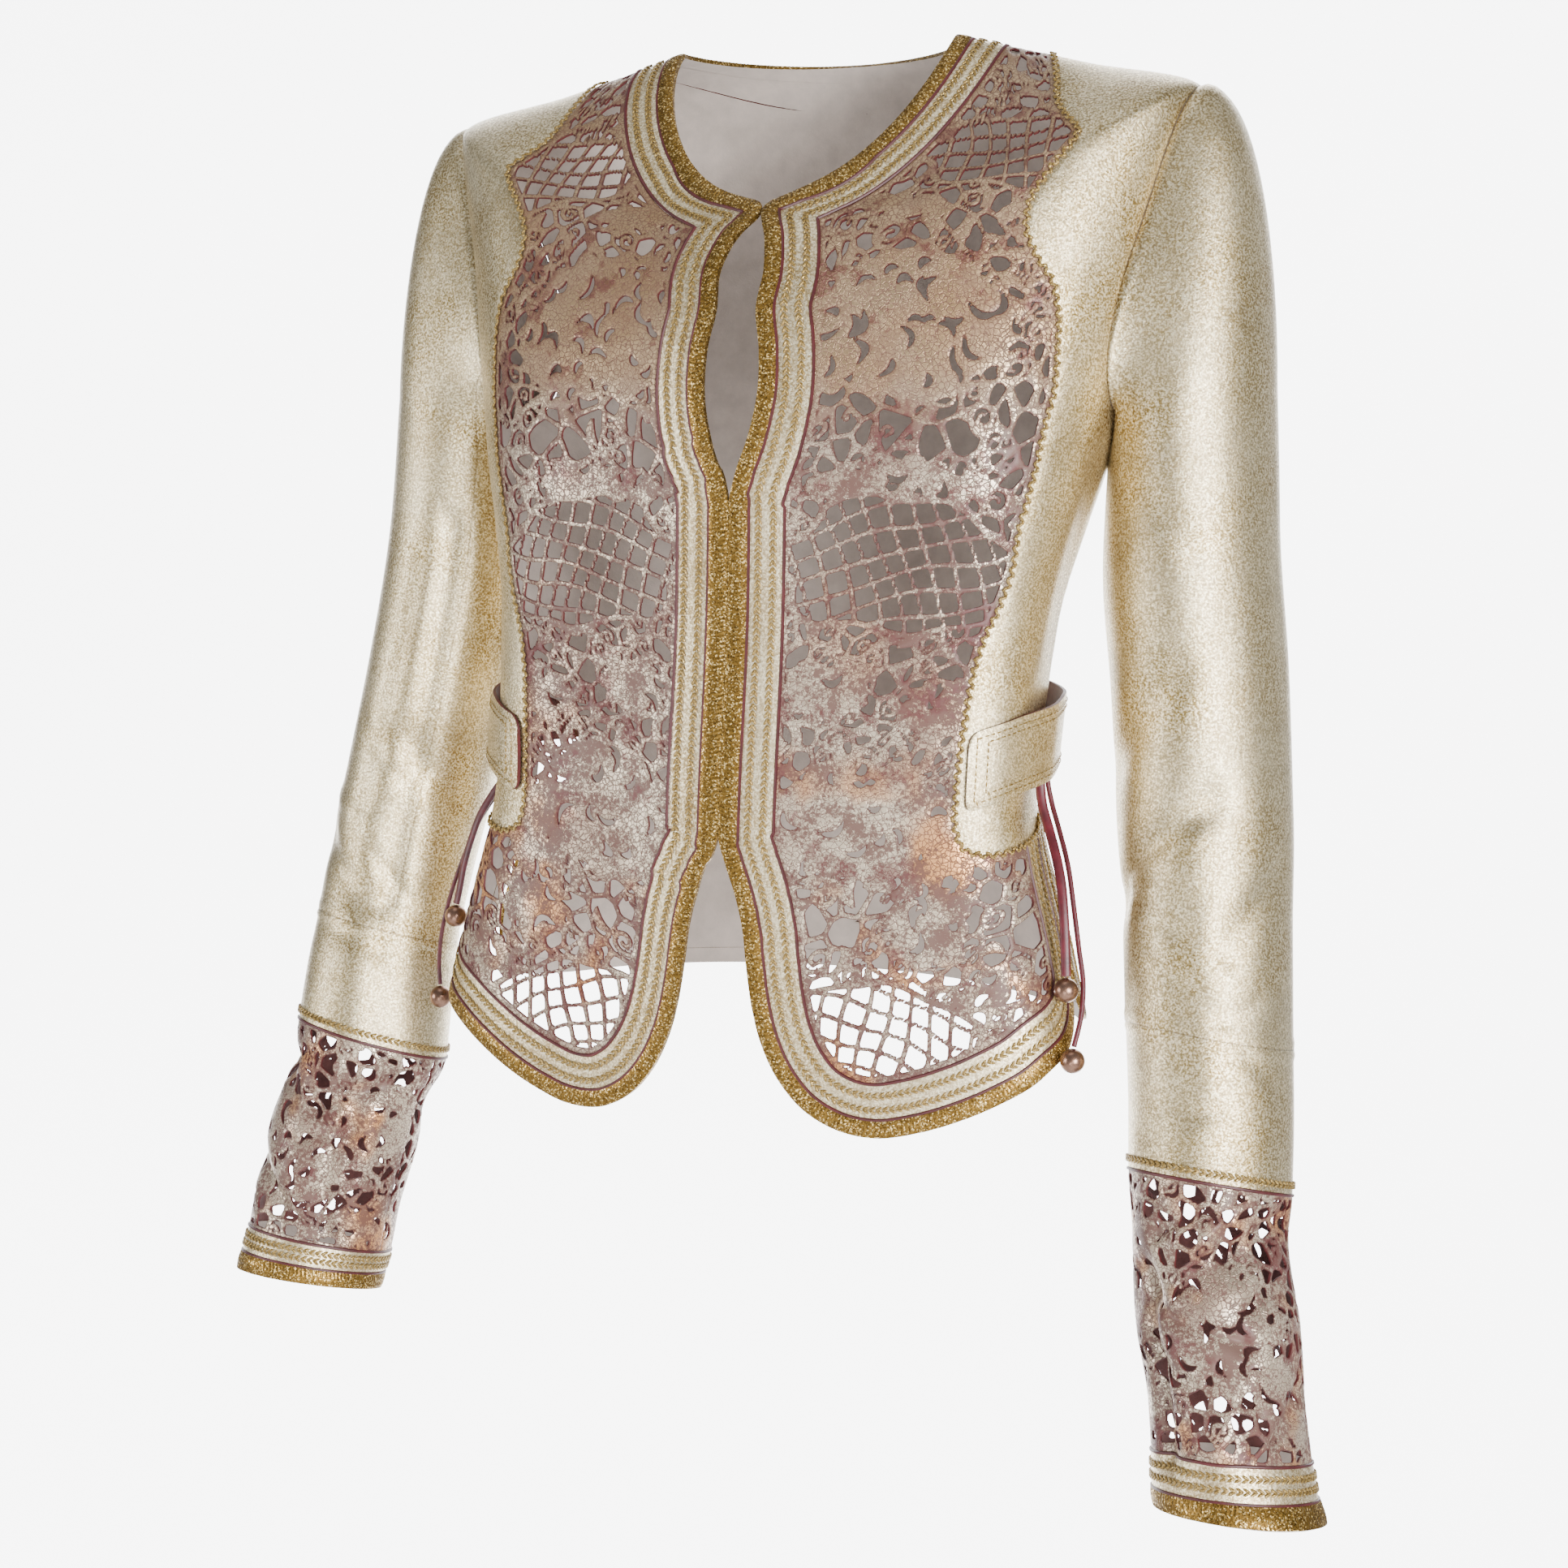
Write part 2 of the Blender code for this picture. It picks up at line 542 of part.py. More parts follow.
def gap_outline(middle, width, height, turn, corners, to_space, hand=1):
    """A lace gap of real width and height round its middle."""
    angles = np.radians(turn) + 2 * np.pi * (np.arange(corners) + 0.5) / corners
    flat = np.stack([np.cos(angles) * width / 2 * 1.25, np.sin(angles) * height / 2 * 1.25], 1)
    spot, along, up, normal = frame_at(np.array([middle], float), to_space)
    scale = np.array([np.linalg.norm(along[0]), np.linalg.norm(up[0])])
    return np.array(middle) + flat / scale


def net_gaps(e, h, columns, rows, pitch, gap, turn, to_space):
    """Square gaps in rows and columns, as a turned net."""
    spot, along, up, normal = frame_at(np.array([(e, h)], float), to_space)
    scale = np.array([np.linalg.norm(along[0]), np.linalg.norm(up[0])])
    turn = np.radians(turn)
    across = np.array([np.cos(turn), np.sin(turn)])
    down = np.array([-np.sin(turn), np.cos(turn)])
    loops = []
    for i in range(columns):
        for j in range(rows):
            middle = across * (i * pitch) + down * (j * pitch)
            square = [middle + gap / 2 * (across * u + down * v) for u, v in ((-1, -1), (1, -1), (1, 1), (-1, 1))]
            loops.append(np.array([e, h]) + np.array(square) / scale)
    return loops


def fitting_gaps(loops, outline, margin=2.6):
    """The gaps that lie whole inside a piece and clear of each other."""
    kept = []
    for loop in loops:
        if not inside(loop, outline).all() or clearance(loop, outline).min() < margin:
            continue
        if any(clearance(loop, other).min() < 1.6 or inside(loop, other).any() for other in kept):
            continue
        kept.append(loop)
    return kept


def seam_run(row):
    """Run of the side seam from the middle front."""
    return run_of(90.0, row) + SIDE_SEAM_BACK


def armhole_loop(degrees, ease=0.0):
    """Armhole in (run, row), from the top over the front, made smaller by the ease."""
    theta = np.radians(degrees)
    tall = ARMHOLE["half_height"] - ease
    wide = ARMHOLE["half_width"] - ease
    row = ARMHOLE["row"] + tall * np.cos(theta)
    run = ARMHOLE["run"] + ARMHOLE["lean"] * np.cos(theta)
    run = run - wide * np.sin(theta) * (1 - ARMHOLE["narrow"] * np.cos(theta))
    return np.stack([run, row], 1)


SIDE_SEAM_STEP = 11    # the armhole's point where the side seam starts
AROUND = 12.0          # points are added this far outside the armhole
LOOP = armhole_loop(np.arange(RING_STEPS) * 360.0 / RING_STEPS)


def around_armhole():
    """Points that ring the armhole, to keep the shoulder round."""
    return armhole_loop((np.arange(RING_STEPS) + 0.5) * 360.0 / RING_STEPS, -AROUND)


def shoulder_seam():
    """Shoulder seam in (run, row), from the neck to the top of the armhole."""
    top = LOOP[0]
    row = np.linspace(NECK_ROW, top[1], 9)
    phi_end = np.interp(top[0], runs_at([top[1]])[0], PHI)
    phi = np.interp(row, [top[1], NECK_ROW], [phi_end, SHOULDER_PHI])
    return np.stack([run_of(phi, row), row], 1)


def side_seam():
    """Side seam in (run, row), from the armhole to the top of the vent."""
    top = LOOP[SIDE_SEAM_STEP]
    row = np.linspace(top[1], VENT_TOP, 15)
    run = seam_run(row)
    ease = np.clip((row - 320) / (top[1] - 320), 0, 1)
    return np.stack([run * (1 - ease) + (top[0] + (run - run[0])) * ease, row], 1)


def front_pieces(side, letter):
    """Lace front, plain side panel, leather band and glitter braid of one front."""
    to_space = front_map(side)
    shift = np.array([side * CLOSURE, 0])
    seam = shoulder_seam() - shift
    neck_start = run_of(SHOULDER_PHI + 14, [NECK_ROW])[0] - side * CLOSURE
    neck = [(e, NECK_ROW) for e in np.linspace(neck_start, 34, 10)]
    corner = [(seam_run([h])[0] - VENT_GAP / 2 - side * CLOSURE - inset, h) for h, inset in VENT_CORNER]
    corner = [(e, h + HEM_LIFT[letter] * np.interp(h, (60, 100), (1, 0))) for e, h in corner]
    hem = [(e, h + HEM_LIFT[letter] * np.interp(e, (60, 135), (0, 1))) for e, h in FRONT_EDGE]
    edge = smooth(neck + hem + corner, 1.5)
    edge[:, 0] = np.maximum(edge[:, 0], CLOSED_RUN)
    edge[:, 1] = np.minimum(edge[:, 1], NECK_ROW)
    lines = {0: edge}
    for distance in (BRAID_WIDTH, TRIM_WIDTH):
        lines[distance] = inset_curve(edge, distance, to_space, 1)
    for distance, step in ((0, 14.0), (BRAID_WIDTH, 14.0), (TRIM_WIDTH, 13.0)):
        lines[distance] = evenly(lines[distance], to_space, step)

    top_row = np.array([SIDE_LINE_TOP])
    top = np.array([np.interp(SIDE_LINE_TOP, seam[::-1, 1], seam[::-1, 0]), SIDE_LINE_TOP])
    vent_top = np.array([seam_run([VENT_TOP])[0] - side * CLOSURE, VENT_TOP])
    side_line = evenly(smooth([top] + list(SIDE_LINE) + [vent_top], 1.5), to_space, 12.0)
    top_place = np.interp(-top_row[0], -seam[:, 1], np.arange(len(seam)))

    at_seam, at_side = {}, {}
    for distance, line in lines.items():
        at_seam[distance] = crossing(line, np.concatenate([[seam[0] + (seam[0] - seam[1]) * 0.2], seam]))
        lower = line[len(line) // 2:]
        hit = crossing(lower, side_line)
        at_side[distance] = (hit[0] + len(line) // 2, hit[1])
    seam_place = {d: max(0.0, hit[1] - 1) for d, hit in at_seam.items()}
    seam_place[0] = 0.0
    last = len(side_line) - 1

    def ribbon(outer, inner):
        return join(stretch(lines[outer], at_seam[outer][0], at_side[outer][0]),
                    stretch(side_line, at_side[outer][1], at_side[inner][1]),
                    stretch(lines[inner], at_side[inner][0], at_seam[inner][0]),
                    stretch(seam, seam_place[inner], seam_place[outer]))

    sheet("front_braid_" + letter, ribbon(0, BRAID_WIDTH), to_space, "glitter braid", step=40,
          wall=BRAID_WALL, proud=BRAID_PROUD, facing=side)
    sheet("front_band_" + letter, ribbon(BRAID_WIDTH, TRIM_WIDTH), to_space, "trim leather", step=40, facing=side)

    lace = join(stretch(lines[TRIM_WIDTH], at_seam[TRIM_WIDTH][0], at_side[TRIM_WIDTH][0]),
                stretch(side_line, at_side[TRIM_WIDTH][1], 0),
                stretch(seam, top_place, seam_place[TRIM_WIDTH]))
    loops = [gap_outline((e, h), w, t, r, n, to_space) for e, h, w, t, r, n in FRONT_GAPS]
    for e, h, columns, rows, pitch, gap, turn in FRONT_NETS:
        loops += net_gaps(e, h, columns, rows, pitch, gap, turn, to_space)
    gaps = fitting_gaps(loops, lace)
    print("front lace", letter, "gaps", len(gaps), "of", len(loops))
    sheet("front_lace_" + letter, lace, to_space, "lace leather", holes=gaps, step=26, facing=side)

    loop = np.concatenate([LOOP, LOOP[:1]]) - shift
    under = side_seam() - shift
    panel = join(stretch(side_line, 0, last), under[::-1],
                 stretch(loop, SIDE_SEAM_STEP, 0), stretch(seam, len(seam) - 1, top_place))
    sheet("side_front_" + letter, panel, to_space, "foiled leather", facing=side,
          extra=around_armhole() - shift)


def back_pieces():
    """Both plain back panels, and the trim of the back neck and the back hem."""
    def to_back(points):
        return np.stack([half_run(points[:, 1]) - points[:, 0], points[:, 1]], 1)

    seam = to_back(shoulder_seam())
    under = to_back(side_seam())
    loop = to_back(np.concatenate([LOOP, LOOP[:1]]))

    ends = {}
    reach = half_run([NECK_ROW])[0] - run_of(SHOULDER_PHI - 14, [NECK_ROW])[0]
    neck = np.stack([np.linspace(reach, -reach, 161), np.full(161, NECK_ROW)], 1)
    mirrored = seam * (-1, 1)
    lines = {0: neck}
    for distance in (BRAID_WIDTH, TRIM_WIDTH):
        lines[distance] = inset_curve(neck, distance, back_map, 1)
    for distance in lines:
        lines[distance] = evenly(lines[distance], back_map, 13.0)
        line = lines[distance]
        start = crossing(line, np.concatenate([[seam[0] + (seam[0] - seam[1]) * 0.2], seam]))
        end = crossing(line, np.concatenate([[mirrored[0] + (mirrored[0] - mirrored[1]) * 0.2], mirrored]))
        place_on = max(0.0, start[1] - 1) if distance else 0.0
        ends[distance] = (start[0], end[0], place_on)

    def neck_ribbon(outer, inner):
        return join(stretch(lines[outer], ends[outer][0], ends[outer][1]),
                    stretch(mirrored, ends[outer][2], ends[inner][2]),
                    stretch(lines[inner], ends[inner][1], ends[inner][0]),
                    stretch(seam, ends[inner][2], ends[outer][2]))

    sheet("neck_braid_back", neck_ribbon(0, BRAID_WIDTH), back_map, "glitter braid", step=40,
          wall=BRAID_WALL, proud=BRAID_PROUD, facing=-1)
    sheet("neck_band_back", neck_ribbon(BRAID_WIDTH, TRIM_WIDTH), back_map, "trim leather", step=40, facing=-1)

    def vent_run(row):
        row = np.atleast_1d(np.asarray(row, float))
        return half_run(row) - seam_run(row) - VENT_GAP / 2

    rise = [(vent_run(h)[0], h) for h in (VENT_TOP + 22, 130, 100, 84)]
    bend = [(vent_run(h)[0] - inset, h) for h, inset in ((68, 3), (55, 9), (45, 18), (38.5, 32))]
    hem = [(t, HEM_BACK) for t in (vent_run(HEM_BACK)[0] - 52, 120, 90, 60, 30, 0)]
    half = smooth(rise + bend + hem, 1.5)
    edge = np.concatenate([half, half[-2::-1] * (-1, 1)])
    top = np.array([(400.0, VENT_TOP), (-400.0, VENT_TOP)])
    hems = {0: edge}
    for distance in (BRAID_WIDTH, TRIM_WIDTH):
        hems[distance] = inset_curve(edge, distance, back_map, -1)
    cuts = {}
    for distance in hems:
        line = evenly(hems[distance], back_map, 14.0)
        hems[distance] = line
        middle = int(np.argmin(abs(line[:, 0])))
        first = crossing(line[:middle + 1], top)
        second = crossing(line[middle:], top)
        cuts[distance] = (first[0], second[0] + middle, first[2], second[2], middle)

    def hem_ribbon(outer, inner):
        return join(stretch(hems[outer], cuts[outer][0], cuts[outer][1]),
                    stretch(hems[inner], cuts[inner][1], cuts[inner][0]))

    sheet("hem_braid_back", hem_ribbon(0, BRAID_WIDTH), back_map, "glitter braid", step=40,
          wall=BRAID_WALL, proud=BRAID_PROUD, facing=-1)
    sheet("hem_band_back", hem_ribbon(BRAID_WIDTH, TRIM_WIDTH), back_map, "trim leather", step=40, facing=-1)

    neck_line, hem_line = lines[TRIM_WIDTH], hems[TRIM_WIDTH]
    neck_middle = crossing(neck_line, np.array([(0.0, 300.0), (0.0, 600.0)]))
    hem_middle = crossing(hem_line, np.array([(0.0, -40.0), (0.0, 300.0)]))
    for sign, letter in ((1, "L"), (-1, "R")):
        flip = np.array([sign, 1])
        neck_cut = ends[TRIM_WIDTH][0 if sign > 0 else 1]
        hem_cut = cuts[TRIM_WIDTH][0 if sign > 0 else 1]
        rows = np.linspace(hem_middle[2][1], neck_middle[2][1], 26)
        spine = np.stack([np.zeros(26), rows], 1)
        outline = join(stretch(hem_line, hem_cut, hem_middle[0]), spine,
                       stretch(neck_line, neck_middle[0], neck_cut),
                       stretch(seam * flip, ends[TRIM_WIDTH][2], len(seam) - 1),
                       stretch(loop * flip, RING_STEPS, SIDE_SEAM_STEP), under * flip)
        sheet("back_" + letter, outline, back_map, "foiled leather", step=36, facing=-1,
              extra=to_back(around_armhole()) * flip)


SECTION_TABLES = {letter: np.array(list(rows.values()), float) for letter, rows in SLEEVES.items()}
SECTION_RUNS = {}
for letter, table in SECTION_TABLES.items():
    hops = np.linalg.norm(np.diff(table[:, [1, 2, 0]], axis=0), axis=1)
    SECTION_RUNS[letter] = np.concatenate([[0], np.cumsum(hops)])


def run_to(letter, name):
    """Distance down the arm from the bicep to a named section."""
    return SECTION_RUNS[letter][list(SLEEVES[letter]).index(name)]


def crease_depth(letter, theta, d):
    """How far the folds sink the sleeve at each point."""
    depth = np.zeros(np.broadcast(theta, d).shape)
    girth = 40.0
    for t0, d0, t1, d1, wide, deep in CREASES[letter]:
        turn = (theta - t0 + 180) % 360 - 180
        along = np.array([math.radians(t1 - t0) * girth, d1 - d0])
        length = np.hypot(*along)
        along /= length
        u, v = np.radians(turn) * girth, d - d0
        reach = (u * along[0] + v * along[1]) / length
        off = u * along[1] - v * along[0]
        ends = np.clip(np.maximum(-reach, reach - 1), 0, None) * length
        depth += deep * np.exp(-(off / wide) ** 2 - (ends / wide) ** 2)
    return depth


def sleeve_map(letter):
    """Map from (degrees round the sleeve, distance down the arm); the cap has negative d."""
    side = 1 if letter == "L" else -1
    table, runs = SECTION_TABLES[letter], SECTION_RUNS[letter]
    def tube(theta, d):
        z, x, y, a, b, lean, nod = [monotone(d, runs, table[:, k]) for k in range(len(SLEEVE_COLUMNS))]
        cosine, sine = np.cos(np.radians(theta)), np.sin(np.radians(theta))
        sink = crease_depth(letter, theta, d)
        a, b = a - sink, b - sink
        return np.stack([x + side * a * cosine, y - b * sine, z + lean * cosine + nod * sine], -1)

    def to_space(points):
        theta, d = points[:, 0] % 360, points[:, 1]
        low = tube(theta, np.maximum(d, 0))
        first = tube(theta, np.zeros_like(d))
        loop = armhole_loop(theta, ARMHOLE_EASE)
        root = place(np.stack([side * loop[:, 0], loop[:, 1]], 1))
        span = np.linalg.norm(first - root, axis=1, keepdims=True)
        cosine = np.cos(np.radians(theta))[:, None]
        leave = span * 0.55 * np.array([side, 0, 0.1]) * np.ones_like(cosine)
        leave[:, 2:] += 4 * cosine
        arrive = span * (1.05 + 0.15 * cosine) * np.array([0.02 * side, -0.03, -1.0])
        u = np.clip(1 + d / CAP, 0, 1)[:, None]
        cap = ((1 + 2 * u) * (1 - u) ** 2 * root + u * (1 - u) ** 2 * leave
               + u * u * (3 - 2 * u) * first + u * u * (u - 1) * arrive)
        return np.where(d[:, None] < 0, cap, low)
    return to_space


CAP = 60.0             # nominal depth of the sleeve cap


def grid_shell(name, columns, rows, to_space, finish, closed=False, wall=WALL, proud=0.0, facing=1):
    """A closed wall over a grid of columns and rows."""
    theta, d = np.meshgrid(columns, rows)
    flat = np.stack([theta.ravel(), d.ravel()], 1)
    spot, along, up, normal = frame_at(flat, to_space)
    wide = len(columns)
    if not closed:
        across = along / np.linalg.norm(along, axis=1, keepdims=True)
        spot[::wide] += FOLD_SEAM / 2 * across[::wide]
        spot[wide - 1::wide] -= FOLD_SEAM / 2 * across[wide - 1::wide]
    triangles = []
    for j in range(len(rows) - 1):
        for i in range(wide if closed else wide - 1):
            a, b = j * wide + i, j * wide + (i + 1) % wide
            triangles += [(a, b, b + wide), (a, b + wide, a + wide)]
    return shell(name, spot, facing * normal, triangles, wall, proud, finish)


def sleeve_pieces(letter):
    """Two-piece sleeve, plain band, lace cuff in two halves, and the cuff's trim."""
    side = 1 if letter == "L" else -1
    to_space = sleeve_map(letter)
    fore, hind = SLEEVE_SEAMS[letter]
    step = 360.0 / RING_STEPS
    elbow, wrist = run_to(letter, "elbow"), run_to(letter, "wrist")
    rows = np.concatenate([[-CAP, -CAP * 0.8, -CAP * 0.6, -CAP * 0.4, -CAP * 0.2], np.linspace(0, elbow - SEAM / 2, 9)])
    grid_shell("sleeve_top_" + letter, np.arange(hind - RING_STEPS, fore + 1) * step, rows, to_space, "foiled leather",
               facing=side)
    grid_shell("sleeve_under_" + letter, np.arange(fore, hind + 1) * step, rows, to_space, "foiled leather", facing=side)
    round_columns = np.arange(RING_STEPS) * step
    rows = np.linspace(elbow + SEAM / 2, wrist - SEAM / 2, 4)
    grid_shell("sleeve_band_" + letter, round_columns, rows, to_space, "foiled leather", closed=True, facing=side)

    lace_end, band_end = run_to(letter, "lace end"), run_to(letter, "band end")
    rows = np.array([lace_end + FOLD_SEAM / 2, (lace_end + band_end) / 2, band_end - SEAM / 2])
    grid_shell("cuff_band_" + letter, round_columns, rows, to_space, "trim leather", closed=True, facing=side)
    rows = np.array([band_end + SEAM / 2, run_to(letter, "hem")])
    grid_shell("cuff_braid_" + letter, round_columns, rows, to_space, "glitter braid", closed=True,
               wall=BRAID_WALL, proud=BRAID_PROUD, facing=side)

    girth = 36.0 * math.pi / 180

    def unrolled(points):
        return to_space(np.stack([points[:, 0] / girth, points[:, 1]], 1))

    deep = lace_end - wrist
    down = np.linspace(wrist, lace_end, 9)
    for name, first, last in (("cuff_lace_front_", 0, 10), ("cuff_lace_back_", 10, 20)):
        across = np.arange(first, last + 1) * step * girth
        outline = join(np.stack([across, np.full(len(across), wrist)], 1),
                       np.stack([np.full(len(down), across[-1]), down], 1),
                       np.stack([across[::-1], np.full(len(across), lace_end)], 1),
                       np.stack([np.full(len(down), across[0]), down[::-1]], 1))
        middle = across.mean()
        loops = [gap_outline((middle + e, wrist + h * deep / 120), w, t, r, n, unrolled)
                 for e, h, w, t, r, n in CUFF_GAPS]
        gaps = fitting_gaps(loops, outline)
        print(name + letter, "gaps", len(gaps), "of", len(loops))
        sheet(name + letter, outline, unrolled, "lace leather", holes=gaps, step=18, facing=side,
              seam=FOLD_SEAM)


def half_belt():
    """Strap from one side panel round the back to the other, standing off the body."""
    back = half_run([190.0])[0]
    ends = {1: BELT_START + CLOSURE, -1: BELT_START - CLOSURE}
    count = 36
    run = np.linspace(ends[1], 2 * back - ends[-1], count)
    from_front = np.minimum(run - ends[1], run[-1] - run)
    rise = np.clip((from_front - 20) / 28, 0, 1)
    rise = rise * rise * (3 - 2 * rise)
    fall = np.clip((from_front - 110) / 90, 0, 1)
    stand = BELT_END_STAND + BELT_STAND * rise - (BELT_STAND - BELT_BACK_STAND) * fall
    middle = 182 + 14 * np.clip(from_front / 60, 0, 1)
    trim = BELT_ROUND * np.clip(1 - from_front / BELT_ROUND, 0, 1)
    rows, spots, normals = (-1.0, 0.0, 1.0), [], []
    for v in rows:
        points = np.stack([run, middle + v * (BELT_WIDTH / 2 - trim) * 1.1], 1)
        spot, along, up, normal = frame_at(points, place)
        spots.append(spot + normal * stand[:, None])
        normals.append(normal)
    spots, normals = np.concatenate(spots), np.concatenate(normals)
    triangles = []
    for j in range(2):
        for i in range(count - 1):
            a = j * count + i
            triangles += [(a, a + 1, a + count + 1), (a, a + count + 1, a + count)]
    shell("half_belt", spots, normals, triangles, 0.0, BELT_WALL, "foiled leather")


def hanging_laces():
    """Leather laces that hang from behind the belt, each down to its bead."""
    for name, (wide, route) in LACES.items():
        curve = bpy.data.curves.new(name, "CURVE")
        curve.dimensions = "3D"
        curve.bevel_depth = wide / 2 * MM
        curve.bevel_resolution = CORNER
        curve.use_fill_caps = True
        line = curve.splines.new("POLY")
        line.points.add(len(route) - 1)
        for point, spot in zip(line.points, route):
            point.co = (*(Vector(spot) * MM), 1)
        curve.materials.append(finish_of(name, "lace cord"))
        bpy.context.scene.collection.objects.link(bpy.data.objects.new(name, curve))
    for name, spot in BEADS.items():
        ball = bmesh.new()
        bmesh.ops.create_uvsphere(ball, u_segments=10, v_segments=7, radius=BEAD_RADIUS * MM)
        mesh = bpy.data.meshes.new(name)
        ball.to_mesh(mesh)
        ball.free()
        mesh.materials.append(finish_of(name, "bead"))
        mesh.shade_smooth()
        thing = bpy.data.objects.new(name, mesh)
        thing.location = Vector(spot) * MM
        bpy.context.scene.collection.objects.link(thing)


for front_side, front_letter in ((1, "L"), (-1, "R")):
    front_pieces(front_side, front_letter)
back_pieces()
for front_letter in ("L", "R"):
    sleeve_pieces(front_letter)
half_belt()
hanging_laces()
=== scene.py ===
# Short fitted collarless jacket of pale gold foiled leather with cut-out lace fronts and cuffs.
# Every piece is a thin shell on the form of its own solid; lengths are in millimetres until a mesh is made.
import math

import bpy
import numpy as np
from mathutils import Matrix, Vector


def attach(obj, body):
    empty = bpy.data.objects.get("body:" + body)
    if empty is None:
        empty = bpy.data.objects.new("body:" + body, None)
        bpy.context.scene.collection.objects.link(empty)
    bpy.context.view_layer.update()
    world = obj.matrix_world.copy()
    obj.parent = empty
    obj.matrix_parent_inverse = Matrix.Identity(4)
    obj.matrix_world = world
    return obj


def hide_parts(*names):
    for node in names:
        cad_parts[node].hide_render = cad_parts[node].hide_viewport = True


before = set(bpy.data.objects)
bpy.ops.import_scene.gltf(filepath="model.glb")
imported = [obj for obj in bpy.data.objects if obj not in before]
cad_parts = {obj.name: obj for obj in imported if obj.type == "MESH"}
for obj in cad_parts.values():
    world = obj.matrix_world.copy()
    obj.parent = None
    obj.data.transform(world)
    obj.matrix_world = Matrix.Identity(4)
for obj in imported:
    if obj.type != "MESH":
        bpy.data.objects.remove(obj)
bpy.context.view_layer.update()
mm = 0.001


def unit(v):
    return v / np.maximum(np.linalg.norm(v, axis=-1, keepdims=True), 1e-9)


def chainage(points):
    # length along a line from its start to each of its points
    return np.concatenate([[0], np.cumsum(np.linalg.norm(np.diff(points, axis=0), axis=1))])


def sample(curve, at, where):
    # every column of a curve, read at other places along it
    return np.stack([np.interp(where, at, column) for column in curve.T], 1)


def hermite(u, a, b, leave, arrive):
    # cubic from a to b whose slopes at its ends are given for the whole span
    return ((1 + 2 * u) * (1 - u) ** 2 * a + u * (1 - u) ** 2 * leave
            + u * u * (3 - 2 * u) * b + u * u * (u - 1) * arrive)


def bell(x, wide):
    return np.exp(-(x / wide) ** 2)


# shared sizes of the cloth
cloth = {
    "wall": 1.3,          # thickness of a leather piece
    "braid": 8.0,         # width of the glitter braid round every edge
    "trim": 24.0,         # braid and leather band together
    "stitches": (12.4, 18.8),
    "seam": -0.1,         # each piece reaches this little past its seam, so no light shows through
    "closure": 4.0,       # the fronts meet this far to the left
    "shoulderPhi": 96.0,
    "neckRow": 560.0,
    "ventTop": 154.0,
    "ventGap": 5.0,
    "sideSeamBack": 20.0,
    "keel": 6.0,
    "hemBack": 36.0,
    "hemLift": {"L": 0.0, "R": 10.0},
}

# the body as rings, read at a row height h; see ringPoint for what each column does
bodyColumns = ("h", "zs", "zf", "zb", "a", "yw", "yf", "yb", "pf", "pb", "sway", "dip")
bodyRows = np.array((
    (-40, -520, -545, -520, 166, -52, -104, 92, 2.6, 2.1, -9, 2.0),
    (0, -480, -500, -480, 161, -54, -103, 86, 2.7, 2.1, -9, 2.0),
    (80, -415, -428, -412, 147, -56, -102, 76, 2.8, 2.1, -8, 2.0),
    (170, -335, -342, -330, 129, -52, -100, 56, 3.0, 2.0, -6, 2.0),
    (250, -265, -268, -252, 132, -44, -98, 64, 2.9, 2.0, -3, 2.0),
    (330, -200, -190, -172, 145, -28, -102, 82, 2.8, 2.1, 0, 2.0),
    (380, -160, -145, -120, 156, -12, -98, 88, 2.6, 2.2, 0, 2.0),
    (430, -100, -113, -75, 169, 0, -89, 86, 2.4, 2.2, 0, 2.0),
    (480, -33, -92, -38, 182, 4, -75, 74, 2.2, 2.1, 0, 2.0),
    (520, -17, -84, -18, 128, 4, -66, 62, 2.1, 2.0, 0, 1.5),
    (560, -2, -77, -4, 68, 2, -59, 52, 2.0, 2.0, 0, 1.25),
), float)

# front edge, rounded vent corner and wavy side line, as run from the closure and row height
frontEdge = (
    (24, 560), (13, 557.5), (5, 549), (1, 535), (0.6, 515), (3, 490), (8, 458), (10.5, 432), (9.5, 404),
    (12.5, 378), (12.5, 356), (9, 338), (3.5, 322), (0.15, 308), (0.15, 270), (0.15, 230),
    (0.15, 190), (0.15, 154), (4, 142), (9, 128), (13, 112), (15, 96), (18, 76), (23, 56), (31, 38), (43, 23), (58, 14),
    (76, 10), (95, 11.5), (113, 15), (131, 20), (147, 26),
)
ventCorner = ((31, 38), (38, 24), (48, 12), (60, 5), (76, 1.5), (100, 0), (130, 0), (176, 0))
sideLinePoints = (
    (150, 523), (142, 512), (144, 500), (147, 489), (141, 477), (132, 466), (125, 455), (124, 442),
    (129, 429), (137, 416), (140.5, 403), (141.5, 388), (141.5, 371), (138, 353), (135, 334), (131, 316),
    (127, 298), (125, 280), (120, 262), (114, 246), (110, 228), (108, 208), (106.5, 188), (106, 170),
    (106.5, 156), (110, 147), (118, 142.5), (133, 141.5), (150, 143.5), (164, 147),
)
sideLineTop = 532.0
armGirth = 40.0     # mm of sleeve for each radian, where its folds are measured
cuffGirth = 36.0    # the same for the cuff's lace and braid
# shallow drag lines of the side panels, from the armhole to the waist
panelFolds = ((170, 400, 150, 250, 9, 0.9), (190, 360, 175, 210, 8, 0.8), (150, 470, 138, 300, 10, 0.5))
armhole = {"run": 215.0, "row": 424.0, "halfHeight": 61.0, "halfWidth": 38.0, "lean": 10.0, "narrow": 0.35,
           "ease": 0.35}


